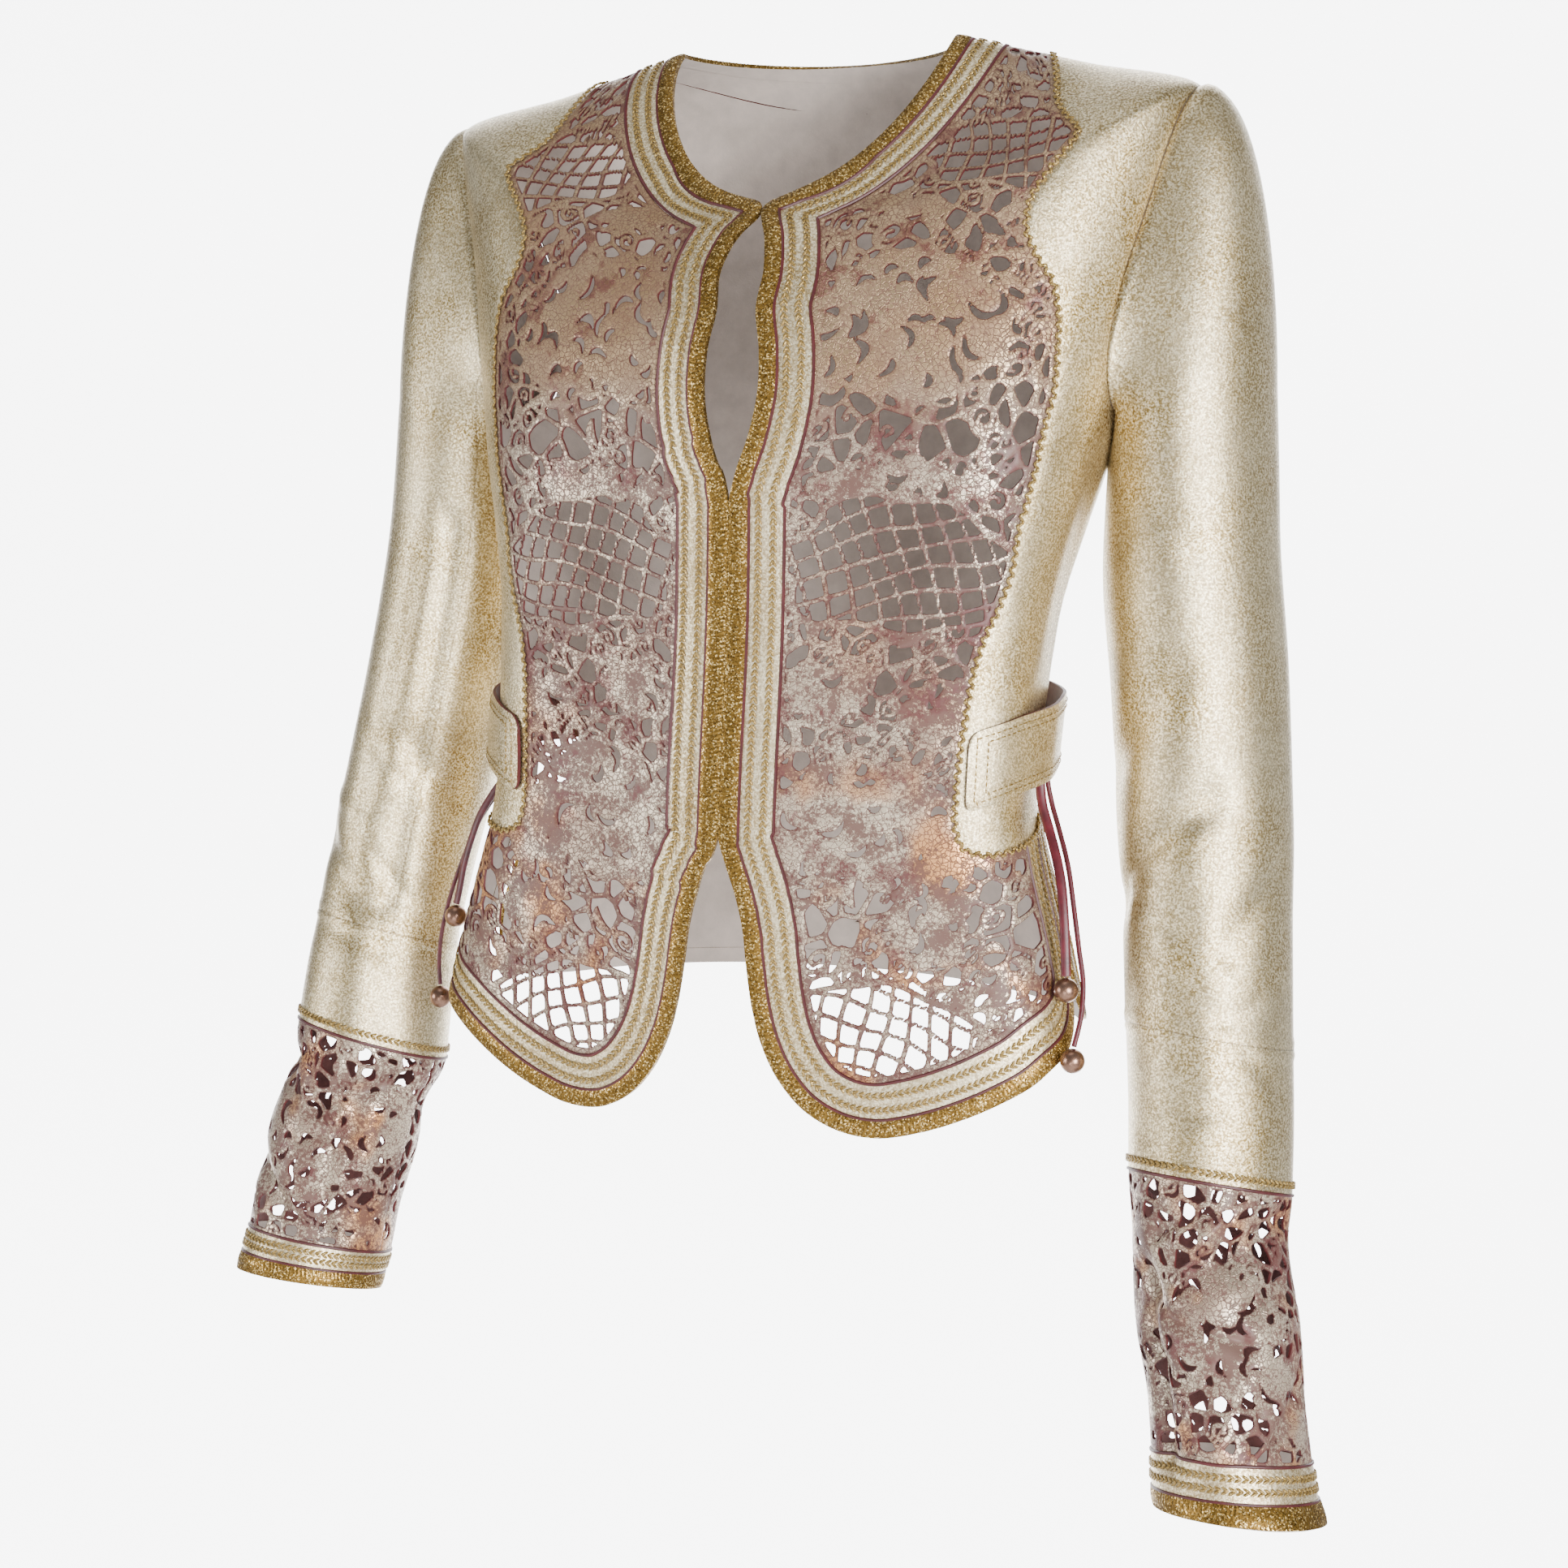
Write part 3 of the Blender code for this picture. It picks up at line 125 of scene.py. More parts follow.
def monotone(x, known, values):
    # smooth curve through known values: cubic pieces whose slopes are harmonic means, so it never overshoots
    step, slope = np.diff(known), np.diff(values) / np.diff(known)
    rate = np.zeros(len(known))
    rate[0], rate[-1] = slope[0], slope[-1]
    wide, narrow = 2 * step[1:] + step[:-1], step[1:] + 2 * step[:-1]
    same = slope[:-1] * slope[1:] > 0
    safe = np.where(slope == 0, 1, slope)
    rate[1:-1] = np.where(same, (wide + narrow) / (wide / safe[:-1] + narrow / safe[1:]), 0)
    i = np.clip(np.searchsorted(known, x) - 1, 0, len(known) - 2)
    u = (x - known[i]) / step[i]
    return hermite(u, values[i], values[i + 1], step[i] * rate[i], step[i] * rate[i + 1])


def ringPoint(phi, row):
    # a ring is a superellipse: half width a, depth yw at the side, yf in front and yb behind, and its
    # height falls from zs at the side to zf and zb by a power of the cosine
    phi = np.radians(phi)
    row = np.asarray(row, float)
    v = {name: monotone(row, bodyRows[:, 0], bodyRows[:, k]) for k, name in enumerate(bodyColumns) if k}
    sine, cosine = np.sin(phi), np.cos(phi)
    front = cosine >= 0
    power = 2 / np.where(front, v["pf"], v["pb"])
    x = v["a"] * np.sign(sine) * np.abs(sine) ** power
    y = v["yw"] + (np.where(front, v["yf"], v["yb"]) - v["yw"]) * np.abs(cosine) ** power
    share = np.abs(cosine) ** np.where(front, v["dip"], 2.0)
    z = np.where(front, v["zf"], v["zb"]) * share + v["zs"] * (1 - share)
    y = y - np.where(front, cloth["keel"] * bell(x, 35.0), 0)
    return np.stack([x + v["sway"], y, z], -1)


phiTable = np.arange(-200.0, 341.0, 0.5)
rowTable = np.arange(-40.0, 560.1, 2.0)
ringGrid = ringPoint(*np.meshgrid(phiTable, rowTable))
ringRuns = np.concatenate([np.zeros((len(rowTable), 1)),
                           np.cumsum(np.linalg.norm(np.diff(ringGrid, axis=1), axis=2), 1)], 1)
ringRuns -= ringRuns[:, [int(np.argmin(abs(phiTable)))]]
runTable = np.arange(-420.0, 760.0, 1.0)
phiAtRun = np.array([np.interp(runTable, line, phiTable) for line in ringRuns])


def lookUp(table, across, down):
    # bilinear reading of a table, across and down in table steps
    i = np.clip(across, 0, table.shape[1] - 1.001)
    j = np.clip(down, 0, table.shape[0] - 1.001)
    a, b = i.astype(int), j.astype(int)
    p, q = i - a, j - b
    return ((table[b, a] * (1 - p) + table[b, a + 1] * p) * (1 - q)
            + (table[b + 1, a] * (1 - p) + table[b + 1, a + 1] * p) * q)


def place(points):
    # (run, row) onto the body: the angle is read from the table of runs, the ring gives the rest
    phi = lookUp(phiAtRun, points[:, 0] - runTable[0], (points[:, 1] - rowTable[0]) / 2.0)
    return ringPoint(phi, points[:, 1])


def runOf(phi, row):
    # run round the ring at an angle, by reading the table of runs
    row = np.atleast_1d(np.asarray(row, float))
    phi = np.broadcast_to(np.asarray(phi, float), row.shape)
    return lookUp(ringRuns, (phi - phiTable[0]) / 0.5, (row - rowTable[0]) / 2.0)


def halfRun(row):
    return runOf(180.0, row)


def frontMap(side):
    return lambda points: place(np.stack([cloth["closure"] + side * points[:, 0], points[:, 1]], 1))


def backMap(points):
    return place(np.stack([halfRun(points[:, 1]) - points[:, 0], points[:, 1]], 1))


def frameAt(points, toSpace, hop=0.5):
    # place, both slopes by central differences, and the normal as their cross product
    east, north = np.array([hop, 0.0]), np.array([0.0, hop])
    along = (toSpace(points + east) - toSpace(points - east)) / (2 * hop)
    up = (toSpace(points + north) - toSpace(points - north)) / (2 * hop)
    return toSpace(points), along, up, unit(np.cross(along, up))


def moveOn(points, direction, distance, toSpace, steps):
    # points carried a real distance over the surface, along directions given in space
    points = points.copy()
    for _ in range(steps):
        spot, along, up, normal = frameAt(points, toSpace)
        way = unit(direction - (direction * normal).sum(1, keepdims=True) * normal)
        aa, au, uu = (along * along).sum(1), (along * up).sum(1), (up * up).sum(1)
        wa, wu = (way * along).sum(1), (way * up).sum(1)
        det = aa * uu - au * au
        points[:, 0] += distance / steps * (wa * uu - wu * au) / det
        points[:, 1] += distance / steps * (wu * aa - wa * au) / det
    return points


def smooth(points, step):
    # cubic curve through the points, its slopes by differences, a point every step or so
    points = np.asarray(points, float)
    gaps = np.maximum(np.linalg.norm(np.diff(points, axis=0), axis=1), 1e-6)
    at = np.concatenate([[0], np.cumsum(gaps)])
    rate = np.gradient(points, at, axis=0)
    where = np.linspace(0, at[-1], max(2, int(at[-1] / step) + 1))
    i = np.clip(np.searchsorted(at, where) - 1, 0, len(at) - 2)
    u, g = ((where - at[i]) / gaps[i])[:, None], gaps[i][:, None]
    return hermite(u, points[i], points[i + 1], g * rate[i], g * rate[i + 1])


def evenly(curve, toSpace, step):
    # the same curve with points a real step apart
    at = chainage(toSpace(curve))
    return sample(curve, at, np.linspace(0, at[-1], max(2, int(round(at[-1] / step)) + 1)))


def insetCurve(edge, distance, toSpace, hand):
    # line a real distance inside an edge; points that come nearer than that are the loops at corners
    spot, along, up, normal = frameAt(edge, toSpace)
    inward = hand * unit(np.cross(normal, np.gradient(spot, axis=0)))
    line = moveOn(edge, inward, distance, toSpace, max(1, int(distance / 4)))
    return line[distanceTo(toSpace(line), spot) > distance * 0.965]


def crossing(a, b):
    # first place where line a crosses line b, in steps along each
    for i in range(len(a) - 1):
        p, r, q, s = a[i], a[i + 1] - a[i], b[:-1], np.diff(b, axis=0)
        det = r[0] * s[:, 1] - r[1] * s[:, 0]
        det = np.where(abs(det) < 1e-12, 1e-12, det)
        d = q - p
        t = (d[:, 0] * s[:, 1] - d[:, 1] * s[:, 0]) / det
        u = (d[:, 0] * r[1] - d[:, 1] * r[0]) / det
        hits = np.where((t >= 0) & (t < 1) & (u >= 0) & (u < 1))[0]
        if len(hits):
            return i + t[hits[0]], hits[0] + u[hits[0]]
    raise ValueError("lines do not cross")


def stretch(curve, start, end):
    # part of a line between two places along it
    inner = np.arange(len(curve))
    inner = inner[(inner > start + 0.1) & (inner < end - 0.1)]
    return sample(curve, np.arange(len(curve)), np.concatenate([[start], inner, [end]]))


def inside(points, outline):
    # even-odd rule, in slices to save memory
    ax, ay = outline[:, 0], outline[:, 1]
    bx, by = np.roll(ax, -1), np.roll(ay, -1)
    rise = np.where(by == ay, 1e-9, by - ay)
    result = np.zeros(len(points), bool)
    for k in range(0, len(points), 20000):
        x, y = points[k:k + 20000, 0][:, None], points[k:k + 20000, 1][:, None]
        result[k:k + 20000] = (((ay > y) != (by > y)) & (x < (bx - ax) * (y - ay) / rise + ax)).sum(1) % 2 == 1
    return result


def distanceTo(spots, line):
    # least distance to a line: the nearest of its points by |p|2 + |q|2 - 2pq in slices, then the two
    # sides that meet there
    middle = line.mean(0)
    line, spots = line - middle, spots - middle
    squares = (line * line).sum(1)
    nearest = np.concatenate([(squares - 2 * spots[k:k + 8000] @ line.T).argmin(1) for k in range(0, len(spots), 8000)])
    result = np.full(len(spots), 1e9)
    for step in (-1, 1):
        a = line[nearest]
        way = line[np.clip(nearest + step, 0, len(line) - 1)] - a
        t = np.clip(((spots - a) * way).sum(1) / np.maximum((way * way).sum(1), 1e-9), 0, 1)
        result = np.minimum(result, np.linalg.norm(spots - a - t[:, None] * way, axis=1))
    return result


def armholeLoop(degrees, ease=0.0):
    # egg-shaped loop in (run, row), from its top over the front
    theta = np.radians(degrees)
    row = armhole["row"] + (armhole["halfHeight"] - ease) * np.cos(theta)
    run = armhole["run"] + armhole["lean"] * np.cos(theta)
    run = run - (armhole["halfWidth"] - ease) * np.sin(theta) * (1 - armhole["narrow"] * np.cos(theta))
    return np.stack([run, row], 1)


loopFine = armholeLoop(np.linspace(0, 360, 241))
sideSeamAt = 132    # point of that loop where the side seam starts


def seamRun(row):
    return runOf(90.0, row) + cloth["sideSeamBack"]


def shoulderSeam():
    top = loopFine[0]
    row = np.linspace(cloth["neckRow"], top[1], 60)
    phiEnd = lookUp(phiAtRun, np.array([top[0] - runTable[0]]), np.array([(top[1] - rowTable[0]) / 2.0]))[0]
    phi = np.interp(row, [top[1], cloth["neckRow"]], [phiEnd, cloth["shoulderPhi"]])
    return np.stack([runOf(phi, row), row], 1)


def sideSeam():
    top = loopFine[sideSeamAt]
    row = np.linspace(top[1], cloth["ventTop"], 150)
    run = seamRun(row)
    ease = np.clip((row - 320) / (top[1] - 320), 0, 1)
    return np.stack([run * (1 - ease) + (top[0] + (run - run[0])) * ease, row], 1)


# meshes
def makePiece(name, verts, faces, slots, looks, uv=None, near=None, slot=None, nodes=()):
    # one named mesh from arrays, with a material for each face and its own UV map in metres
    mesh = bpy.data.meshes.new(name)
    mesh.from_pydata(verts * mm, [], faces.tolist())
    for look in looks:
        mesh.materials.append(look)
    if slots is not None:
        mesh.polygons.foreach_set("material_index", np.asarray(slots, np.int32))
    corners = faces.ravel()
    if uv is not None:
        layer = mesh.uv_layers.new(name="cloth")
        layer.data.foreach_set("uv", (uv[corners] * mm).astype(np.float32).ravel())
    if near is not None:
        data = mesh.attributes.new("near", "FLOAT", "POINT")
        data.data.foreach_set("value", near.astype(np.float32))
    mesh.shade_smooth()
    mesh.set_sharp_from_angle(angle=math.radians(50))
    thing = bpy.data.objects.new(name, mesh)
    bpy.context.scene.collection.objects.link(thing)
    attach(thing, "root")
    if nodes:
        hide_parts(*nodes)
    return thing


def rims(triangles, count):
    # walls between the outer skin and the inner one, along every edge that only one face uses
    pairs = np.concatenate([triangles[:, [0, 1]], triangles[:, [1, 2]], triangles[:, [2, 0]]])
    keys = pairs.min(1).astype(np.int64) * count + pairs.max(1)
    _, first, times = np.unique(keys, return_index=True, return_counts=True)
    a, b = pairs[first[times == 1]].T
    return np.concatenate([np.stack([b, a, a + count], 1), np.stack([b, a + count, b + count], 1)])


def skin(name, flat, triangles, toSpace, facing, looks, wall, lift, near=None, slot=None, nodes=(), shift=None):
    # outer face, inner face and rims over flat points; lift raises the outer face along the normal
    spot, along, up, normal = frameAt(flat, toSpace)
    normal = facing * normal
    if shift is not None:
        spot = spot + shift(spot, along, normal)
    p = spot[triangles]
    if (np.cross(p[:, 1] - p[:, 0], p[:, 2] - p[:, 0]) * normal[triangles[:, 0]]).sum() < 0:
        triangles = triangles[:, ::-1]
    n = len(flat)
    outer = spot + (np.zeros(n) + lift)[:, None] * normal
    inner = spot - wall * normal
    edge = rims(triangles, n)
    faces = np.concatenate([triangles, triangles[:, ::-1] + n, edge])
    slots = np.repeat([0, 1, min(2, len(looks) - 1)], [len(triangles), len(triangles), len(edge)])
    if near is not None:
        near = np.concatenate([near, near])
    p = outer[triangles] * mm
    cutAreas[name] = float(np.linalg.norm(np.cross(p[:, 1] - p[:, 0], p[:, 2] - p[:, 0]), axis=1).sum() / 2)
    return makePiece(name, np.concatenate([outer, inner]), faces, slots, looks, uv=np.concatenate([flat, flat]),
                     near=near, slot=slot, nodes=nodes)


cutAreas = {}


def declareCloth(piece, width, length, extras=()):
    # a cut piece of the garment, printed with its face count, flat size in metres and area; extras, what is sewn on it,
    # is not used
    area = min(cutAreas[piece.name], width * length)
    print(piece.name, len(piece.data.polygons), "faces, flat", round(width, 4), round(length, 4), round(area, 5))


def seamDip(near, edge=1.3):
    # cloth sinks a little towards its own seams, by a Gaussian of the distance from them
    return -0.35 * bell(near, edge)


def cutOut(xs, ys, fieldOf, toSpace):
    # marching triangles: a grid of flat points is kept where the field is positive, and each triangle
    # that the zero line crosses is cut where the field, taken as linear along its sides, is zero
    gx, gy = np.meshgrid(xs, ys)
    flat = np.stack([gx.ravel(), gy.ravel()], 1)
    field = fieldOf(flat, toSpace(flat))
    index = np.arange(len(flat)).reshape(gx.shape)
    a, b, c, d = index[:-1, :-1].ravel(), index[:-1, 1:].ravel(), index[1:, 1:].ravel(), index[1:, :-1].ravel()
    triangles = np.concatenate([np.stack([a, b, c], 1), np.stack([a, c, d], 1)])
    kept = field[triangles] > 0
    count = kept.sum(1)
    turn = np.arange(3)
    one, two = triangles[count == 1], triangles[count == 2]
    first = np.argmax(kept[count == 1], 1)
    one = np.take_along_axis(one, (first[:, None] + turn) % 3, 1)
    first = np.argmin(kept[count == 2], 1)
    two = np.take_along_axis(two, (first[:, None] + turn) % 3, 1)
    cut = np.concatenate([one, two])
    pairs = np.concatenate([cut[:, [0, 1]], cut[:, [0, 2]]])
    low, high = pairs.min(1).astype(np.int64), pairs.max(1).astype(np.int64)
    keys, back = np.unique(low * len(flat) + high, return_inverse=True)
    low, high = keys // len(flat), keys % len(flat)
    share = np.clip(field[low] / (field[low] - field[high]), 0.04, 0.96)
    extra = flat[low] + (flat[high] - flat[low]) * share[:, None]
    back = back.reshape(-1) + len(flat)
    m, k = len(one), len(cut)
    faces = np.concatenate([
        triangles[count == 3],
        np.stack([one[:, 0], back[:m], back[k:k + m]], 1),
        np.stack([back[m:k], two[:, 1], two[:, 2]], 1),
        np.stack([back[m:k], two[:, 2], back[k + m:]], 1)])
    flat = np.concatenate([flat, extra])
    near = np.concatenate([field, np.zeros(len(extra))])
    used, faces = np.unique(faces, return_inverse=True)
    return flat[used], faces.reshape(-1, 3), near[used]


def gridFaces(wide, tall, closed=False):
    # two triangles for each cell of a grid, joined up across its width if closed
    i, j = np.meshgrid(np.arange(wide if closed else wide - 1), np.arange(tall - 1))
    a, b = (j * wide + i).ravel(), (j * wide + (i + 1) % wide).ravel()
    return np.concatenate([np.stack([a, b, b + wide], 1), np.stack([a, b + wide, a + wide], 1)])


def tubeAlong(name, spots, up, halfWide, halfHigh, look, sides=8, slot=None, nodes=()):
    # closed tube: an oval in the plane across the line, half width across it and half height along up
    tangent = unit(np.gradient(spots, axis=0))
    across = unit(np.cross(up, tangent))
    rise = np.cross(tangent, across)
    turn = np.arange(sides) * 2 * np.pi / sides
    wide = np.zeros(len(spots)) + halfWide
    high = np.zeros(len(spots)) + halfHigh
    ring = (spots[:, None] + across[:, None] * (wide[:, None] * np.cos(turn))[..., None]
            + rise[:, None] * (high[:, None] * np.sin(turn))[..., None])
    n = len(spots)
    faces = gridFaces(sides, n, True)
    verts = np.concatenate([ring.reshape(-1, 3), spots[[0, -1]]])
    k = np.arange(sides)
    caps = np.concatenate([np.stack([(k + 1) % sides, k, k * 0 + n * sides], 1),
                           np.stack([k, (k + 1) % sides, k * 0 + sides + 1], 1) + (n - 1) * sides])
    caps[sides:, 2] = n * sides + 1
    faces = np.concatenate([faces, caps])
    uv = np.stack([np.tile(turn * halfWide, n), np.repeat(chainage(spots), sides)], 1)
    uv = np.concatenate([uv, uv[[0, -1]]])
    return makePiece(name, verts, faces, None, [look], uv=uv, slot=slot, nodes=nodes)


def stitchRow(name, spots, normals, look, pitch=3.0, size=(1.95, 0.72, 0.6), tilt=30, sunk=0.1):
    # small spindles laid head to tail on a line, in pairs turned to either side; each spindle is an
    # octagon ring with pointed ends, scaled to half length, half width and half height
    at = chainage(spots)
    where = np.arange(pitch * 0.5, at[-1], pitch)
    centre, way, up = (sample(values, at, where) for values in (spots, np.gradient(spots, axis=0), normals))
    way = unit(way)
    up = unit(up - (up * way).sum(1, keepdims=True) * way)
    side = np.cross(up, way)
    if tilt:
        centre = np.concatenate([centre + side * size[1] * 0.9, centre - side * size[1] * 0.9])
        swing = np.radians(np.repeat([tilt, -tilt], len(where)))[:, None]
        way, side, up = (np.concatenate([v, v]) for v in (way, side, up))
        way, side = way * np.cos(swing) + side * np.sin(swing), side * np.cos(swing) - way * np.sin(swing)
    turn = np.arange(6) * np.pi / 3
    shape = [(-1, 0, 0)] + [(x, r * math.cos(t), r * math.sin(t)) for x, r in ((-0.5, 0.86), (0.5, 0.86)) for t in turn]
    shape = np.array(shape + [(1, 0, 0)]) * size
    k = np.arange(6)
    q = (k + 1) % 6
    faces = np.concatenate([np.stack([k * 0, q + 1, k + 1], 1), np.stack([k + 1, q + 1, q + 7], 1),
                            np.stack([k + 1, q + 7, k + 7], 1), np.stack([k * 0 + 13, k + 7, q + 7], 1)])
    verts = (centre[:, None] + way[:, None] * shape[:, 0, None] + side[:, None] * shape[:, 1, None]
             + up[:, None] * (shape[:, 2, None] + size[2] - sunk))
    faces = (faces[None] + 14 * np.arange(len(centre))[:, None, None]).reshape(-1, 3)
    return makePiece(name, verts.reshape(-1, 3), faces, None, [look], slot="trim_leather")


def joinPieces(name, pieces):
    # several loose meshes of one finish become one named piece
    pieces[0].name = name
    if len(pieces) > 1:
        with bpy.context.temp_override(active_object=pieces[0], object=pieces[0], selected_objects=pieces,
                                       selected_editable_objects=pieces):
            bpy.ops.object.join()
    return pieces[0]


# materials
class Net:
    # a node tree, with a short way to add each kind of node that the looks use
    def __init__(self, tree):
        self.tree = tree

    def put(self, socket, value):
        if isinstance(value, bpy.types.NodeSocket):
            self.tree.links.new(value, socket)
        else:
            socket.default_value = (*value, 1) if socket.type == "RGBA" and len(value) == 3 else value

    def add(self, kind, settings=None, **inputs):
        # a socket's name is written without spaces
        node = self.tree.nodes.new("ShaderNode" + kind)
        for key, value in (settings or {}).items():
            setattr(node, key, value)
        for key, value in inputs.items():
            self.put(next(socket for socket in node.inputs if socket.name.replace(" ", "") == key), value)
        return node.outputs

    def noise(self, vector, scale, detail, rough):
        return self.add("TexNoise", Vector=vector, Scale=scale, Detail=detail, Roughness=rough)

    def ramp(self, fac, stops):
        node = self.tree.nodes.new("ShaderNodeValToRGB")
        for element, (at, colour) in zip(node.color_ramp.elements, stops):
            element.position, element.color = at, (*colour, 1)
        self.put(node.inputs[0], fac)
        return node.outputs[0]

    def rise(self, fac, low, high):
        return self.ramp(fac, ((low, (0, 0, 0)), (high, (1, 1, 1))))

    def fall(self, fac, low, high):
        return self.ramp(fac, ((low, (1, 1, 1)), (high, (0, 0, 0))))

    def mix(self, fac, a, b):
        node = self.tree.nodes.new("ShaderNodeMix")
        node.data_type = "RGBA"
        for socket, value in ((node.inputs[0], fac), (node.inputs[6], a), (node.inputs[7], b)):
            self.put(socket, value)
        return node.outputs[2]

    def calc(self, kind, a, b, clamp=False):
        node = self.tree.nodes.new("ShaderNodeMath")
        node.operation, node.use_clamp = kind, clamp
        self.put(node.inputs[0], a)
        self.put(node.inputs[1], b)
        return node.outputs[0]

    def times(self, a, b):
        return self.calc("MULTIPLY", a, b)

    def use(self, key, **inputs):
        node = self.tree.nodes.new("ShaderNodeGroup")
        node.node_tree = groups[key]
        for name, value in inputs.items():
            self.put(node.inputs[name], value)
        return node.outputs

    def bump(self, height, strength, distance):
        out = self.add("Bump", Height=height, Strength=strength, Distance=distance)
        self.put(self.tree.nodes["Principled BSDF"].inputs["Normal"], out[0])


def newGroup(name, inputs, outputs):
    tree = bpy.data.node_groups.new(name, "ShaderNodeTree")
    for key, value in inputs.items():
        kind = "Vector" if value is None else "Color" if isinstance(value, tuple) else "Float"
        socket = tree.interface.new_socket(key, in_out="INPUT", socket_type="NodeSocket" + kind)
        if value is not None:
            socket.default_value = value
    for key in outputs:
        kind = "Color" if key == "Color" else "Float"
        tree.interface.new_socket(key, in_out="OUTPUT", socket_type="NodeSocket" + kind)
    return Net(tree), tree.nodes.new("NodeGroupInput").outputs, tree.nodes.new("NodeGroupOutput").inputs


def speckleGroup():
    # fine foil speckle: grain of about a millimetre, cloudy patches, and a soft pebble for height
    net, given, result = newGroup("foil speckle", {
        "Vector": None, "Base": (0.5, 0.4, 0.25, 1), "Dark": (0.3, 0.22, 0.1, 1), "Light": (0.8, 0.75, 0.6, 1),
        "Grain": 1500.0}, ("Color", "Rough", "Height"))
    grain = net.noise(given["Vector"], given["Grain"], 4.0, 0.75)["Fac"]
    cloud = net.noise(given["Vector"], 22.0, 5.0, 0.7)
    pebble = net.noise(given["Vector"], 420.0, 2.0, 0.5)["Fac"]
    colour = net.mix(net.times(net.fall(grain, 0.42, 0.5), 0.85), given["Base"], given["Dark"])
    colour = net.mix(net.times(net.rise(grain, 0.5, 0.58), 0.9), colour, given["Light"])
    colour = net.mix(net.times(net.rise(cloud["Fac"], 0.35, 0.65), 0.3), colour, given["Light"])
    colour = net.mix(net.times(net.rise(cloud["Color"], 0.52, 0.66), 0.4), colour, given["Dark"])
    net.put(result["Color"], colour)
    net.put(result["Rough"], net.calc("ADD", net.times(grain, -0.5), 0.6))
    net.put(result["Height"], net.calc("ADD", grain, net.times(pebble, 0.8)))
    return net.tree


def crackleGroup():
    # broken foil: warped cells of about 2 mm whose borders show the leather under them, and finer flakes
    net, given, result = newGroup("crackled foil", {
        "Vector": None, "Foil": (0.7, 0.6, 0.5, 1), "Under": (0.2, 0.12, 0.1, 1), "Amount": 0.5},
        ("Color", "Mask", "Height"))
    warp = net.noise(given["Vector"], 260.0, 3.0, 0.6)["Color"]
    node = net.tree.nodes.new("ShaderNodeVectorMath")
    node.operation = "MULTIPLY_ADD"
    for socket, value in zip(node.inputs, (warp, (0.0022, 0.0022, 0.0022), given["Vector"])):
        net.put(socket, value)
    bent = node.outputs[0]
    cell = net.add("TexVoronoi", {"feature": "DISTANCE_TO_EDGE"}, Vector=bent, Scale=460.0)["Distance"]
    flake = net.noise(bent, 560.0, 4.0, 0.75)["Fac"]
    patches = net.noise(given["Vector"], 60.0, 3.0, 0.6)["Fac"]
    chip = net.times(net.calc("ADD", flake, net.times(patches, 0.8)), 0.6)
    chip = net.times(net.rise(chip, 0.53, 0.58), given["Amount"])
    worn = net.calc("MAXIMUM", net.times(net.fall(cell, 0.01, 0.11), 0.85), chip)
    net.put(result["Color"], net.mix(worn, given["Foil"], given["Under"]))
    net.put(result["Mask"], worn)
    net.put(result["Height"], net.calc("SUBTRACT", net.times(flake, 0.5), worn))
    return net.tree


def glitterGroup():
    # metal thread: tiny cells, each with its own brightness, a few of them very bright
    net, given, result = newGroup("glitter", {
        "Vector": None, "Base": (0.4, 0.25, 0.06, 1), "Spark": (1.0, 0.85, 0.5, 1), "Dark": (0.1, 0.05, 0.01, 1),
        "Size": 1700.0}, ("Color", "Rough", "Height"))
    cell = net.add("TexVoronoi", Vector=given["Vector"], Scale=given["Size"])
    split = net.add("SeparateColor", Color=cell["Color"])
    colour = net.mix(net.times(net.rise(split[1], 0.5, 0.9), 0.75), given["Base"], given["Dark"])
    net.put(result["Color"], net.mix(net.rise(split[0], 0.78, 0.97), colour, given["Spark"]))
    net.put(result["Rough"], net.calc("ADD", net.times(split[2], 0.4), 0.22))
    net.put(result["Height"], split[2])
    return net.tree


groups = {"speckle": speckleGroup(), "crackle": crackleGroup(), "glitter": glitterGroup()}


def newLook(name, metallic, coat=0.0):
    look = bpy.data.materials.new(name)
    look.use_nodes = True
    net = Net(look.node_tree)
    shader = look.node_tree.nodes["Principled BSDF"].inputs
    shader["Metallic"].default_value = metallic
    shader["Coat Weight"].default_value = coat
    shader["Coat Roughness"].default_value = 0.25
    return look, net, shader, net.add("TexCoord")["Object"]


def foilLook(name, base, dark, light, metallic=0.75, grain=1000.0, paintedSeamShade=True):
    # the last argument turns on painted shade: a brown line where the cloth sinks into its seams
    look, net, shader, place = newLook(name, metallic, coat=0.15)
    out = net.use("speckle", Vector=place, Base=base, Dark=dark, Light=light, Grain=grain)
    colour = out["Color"]
    if paintedSeamShade:
        near = net.add("Attribute", {"attribute_name": "near"})["Fac"]
        # painted shade: the foil turns brown within 0.6 mm of its seams, where the cloth sinks
        colour = net.mix(net.times(net.fall(near, 0.0, 0.6), 0.6), colour, (0.08, 0.04, 0.015))
    net.put(shader["Base Color"], colour)
    net.put(shader["Roughness"], out["Rough"])
    net.bump(out["Height"], 0.55, 0.0004)
    return look


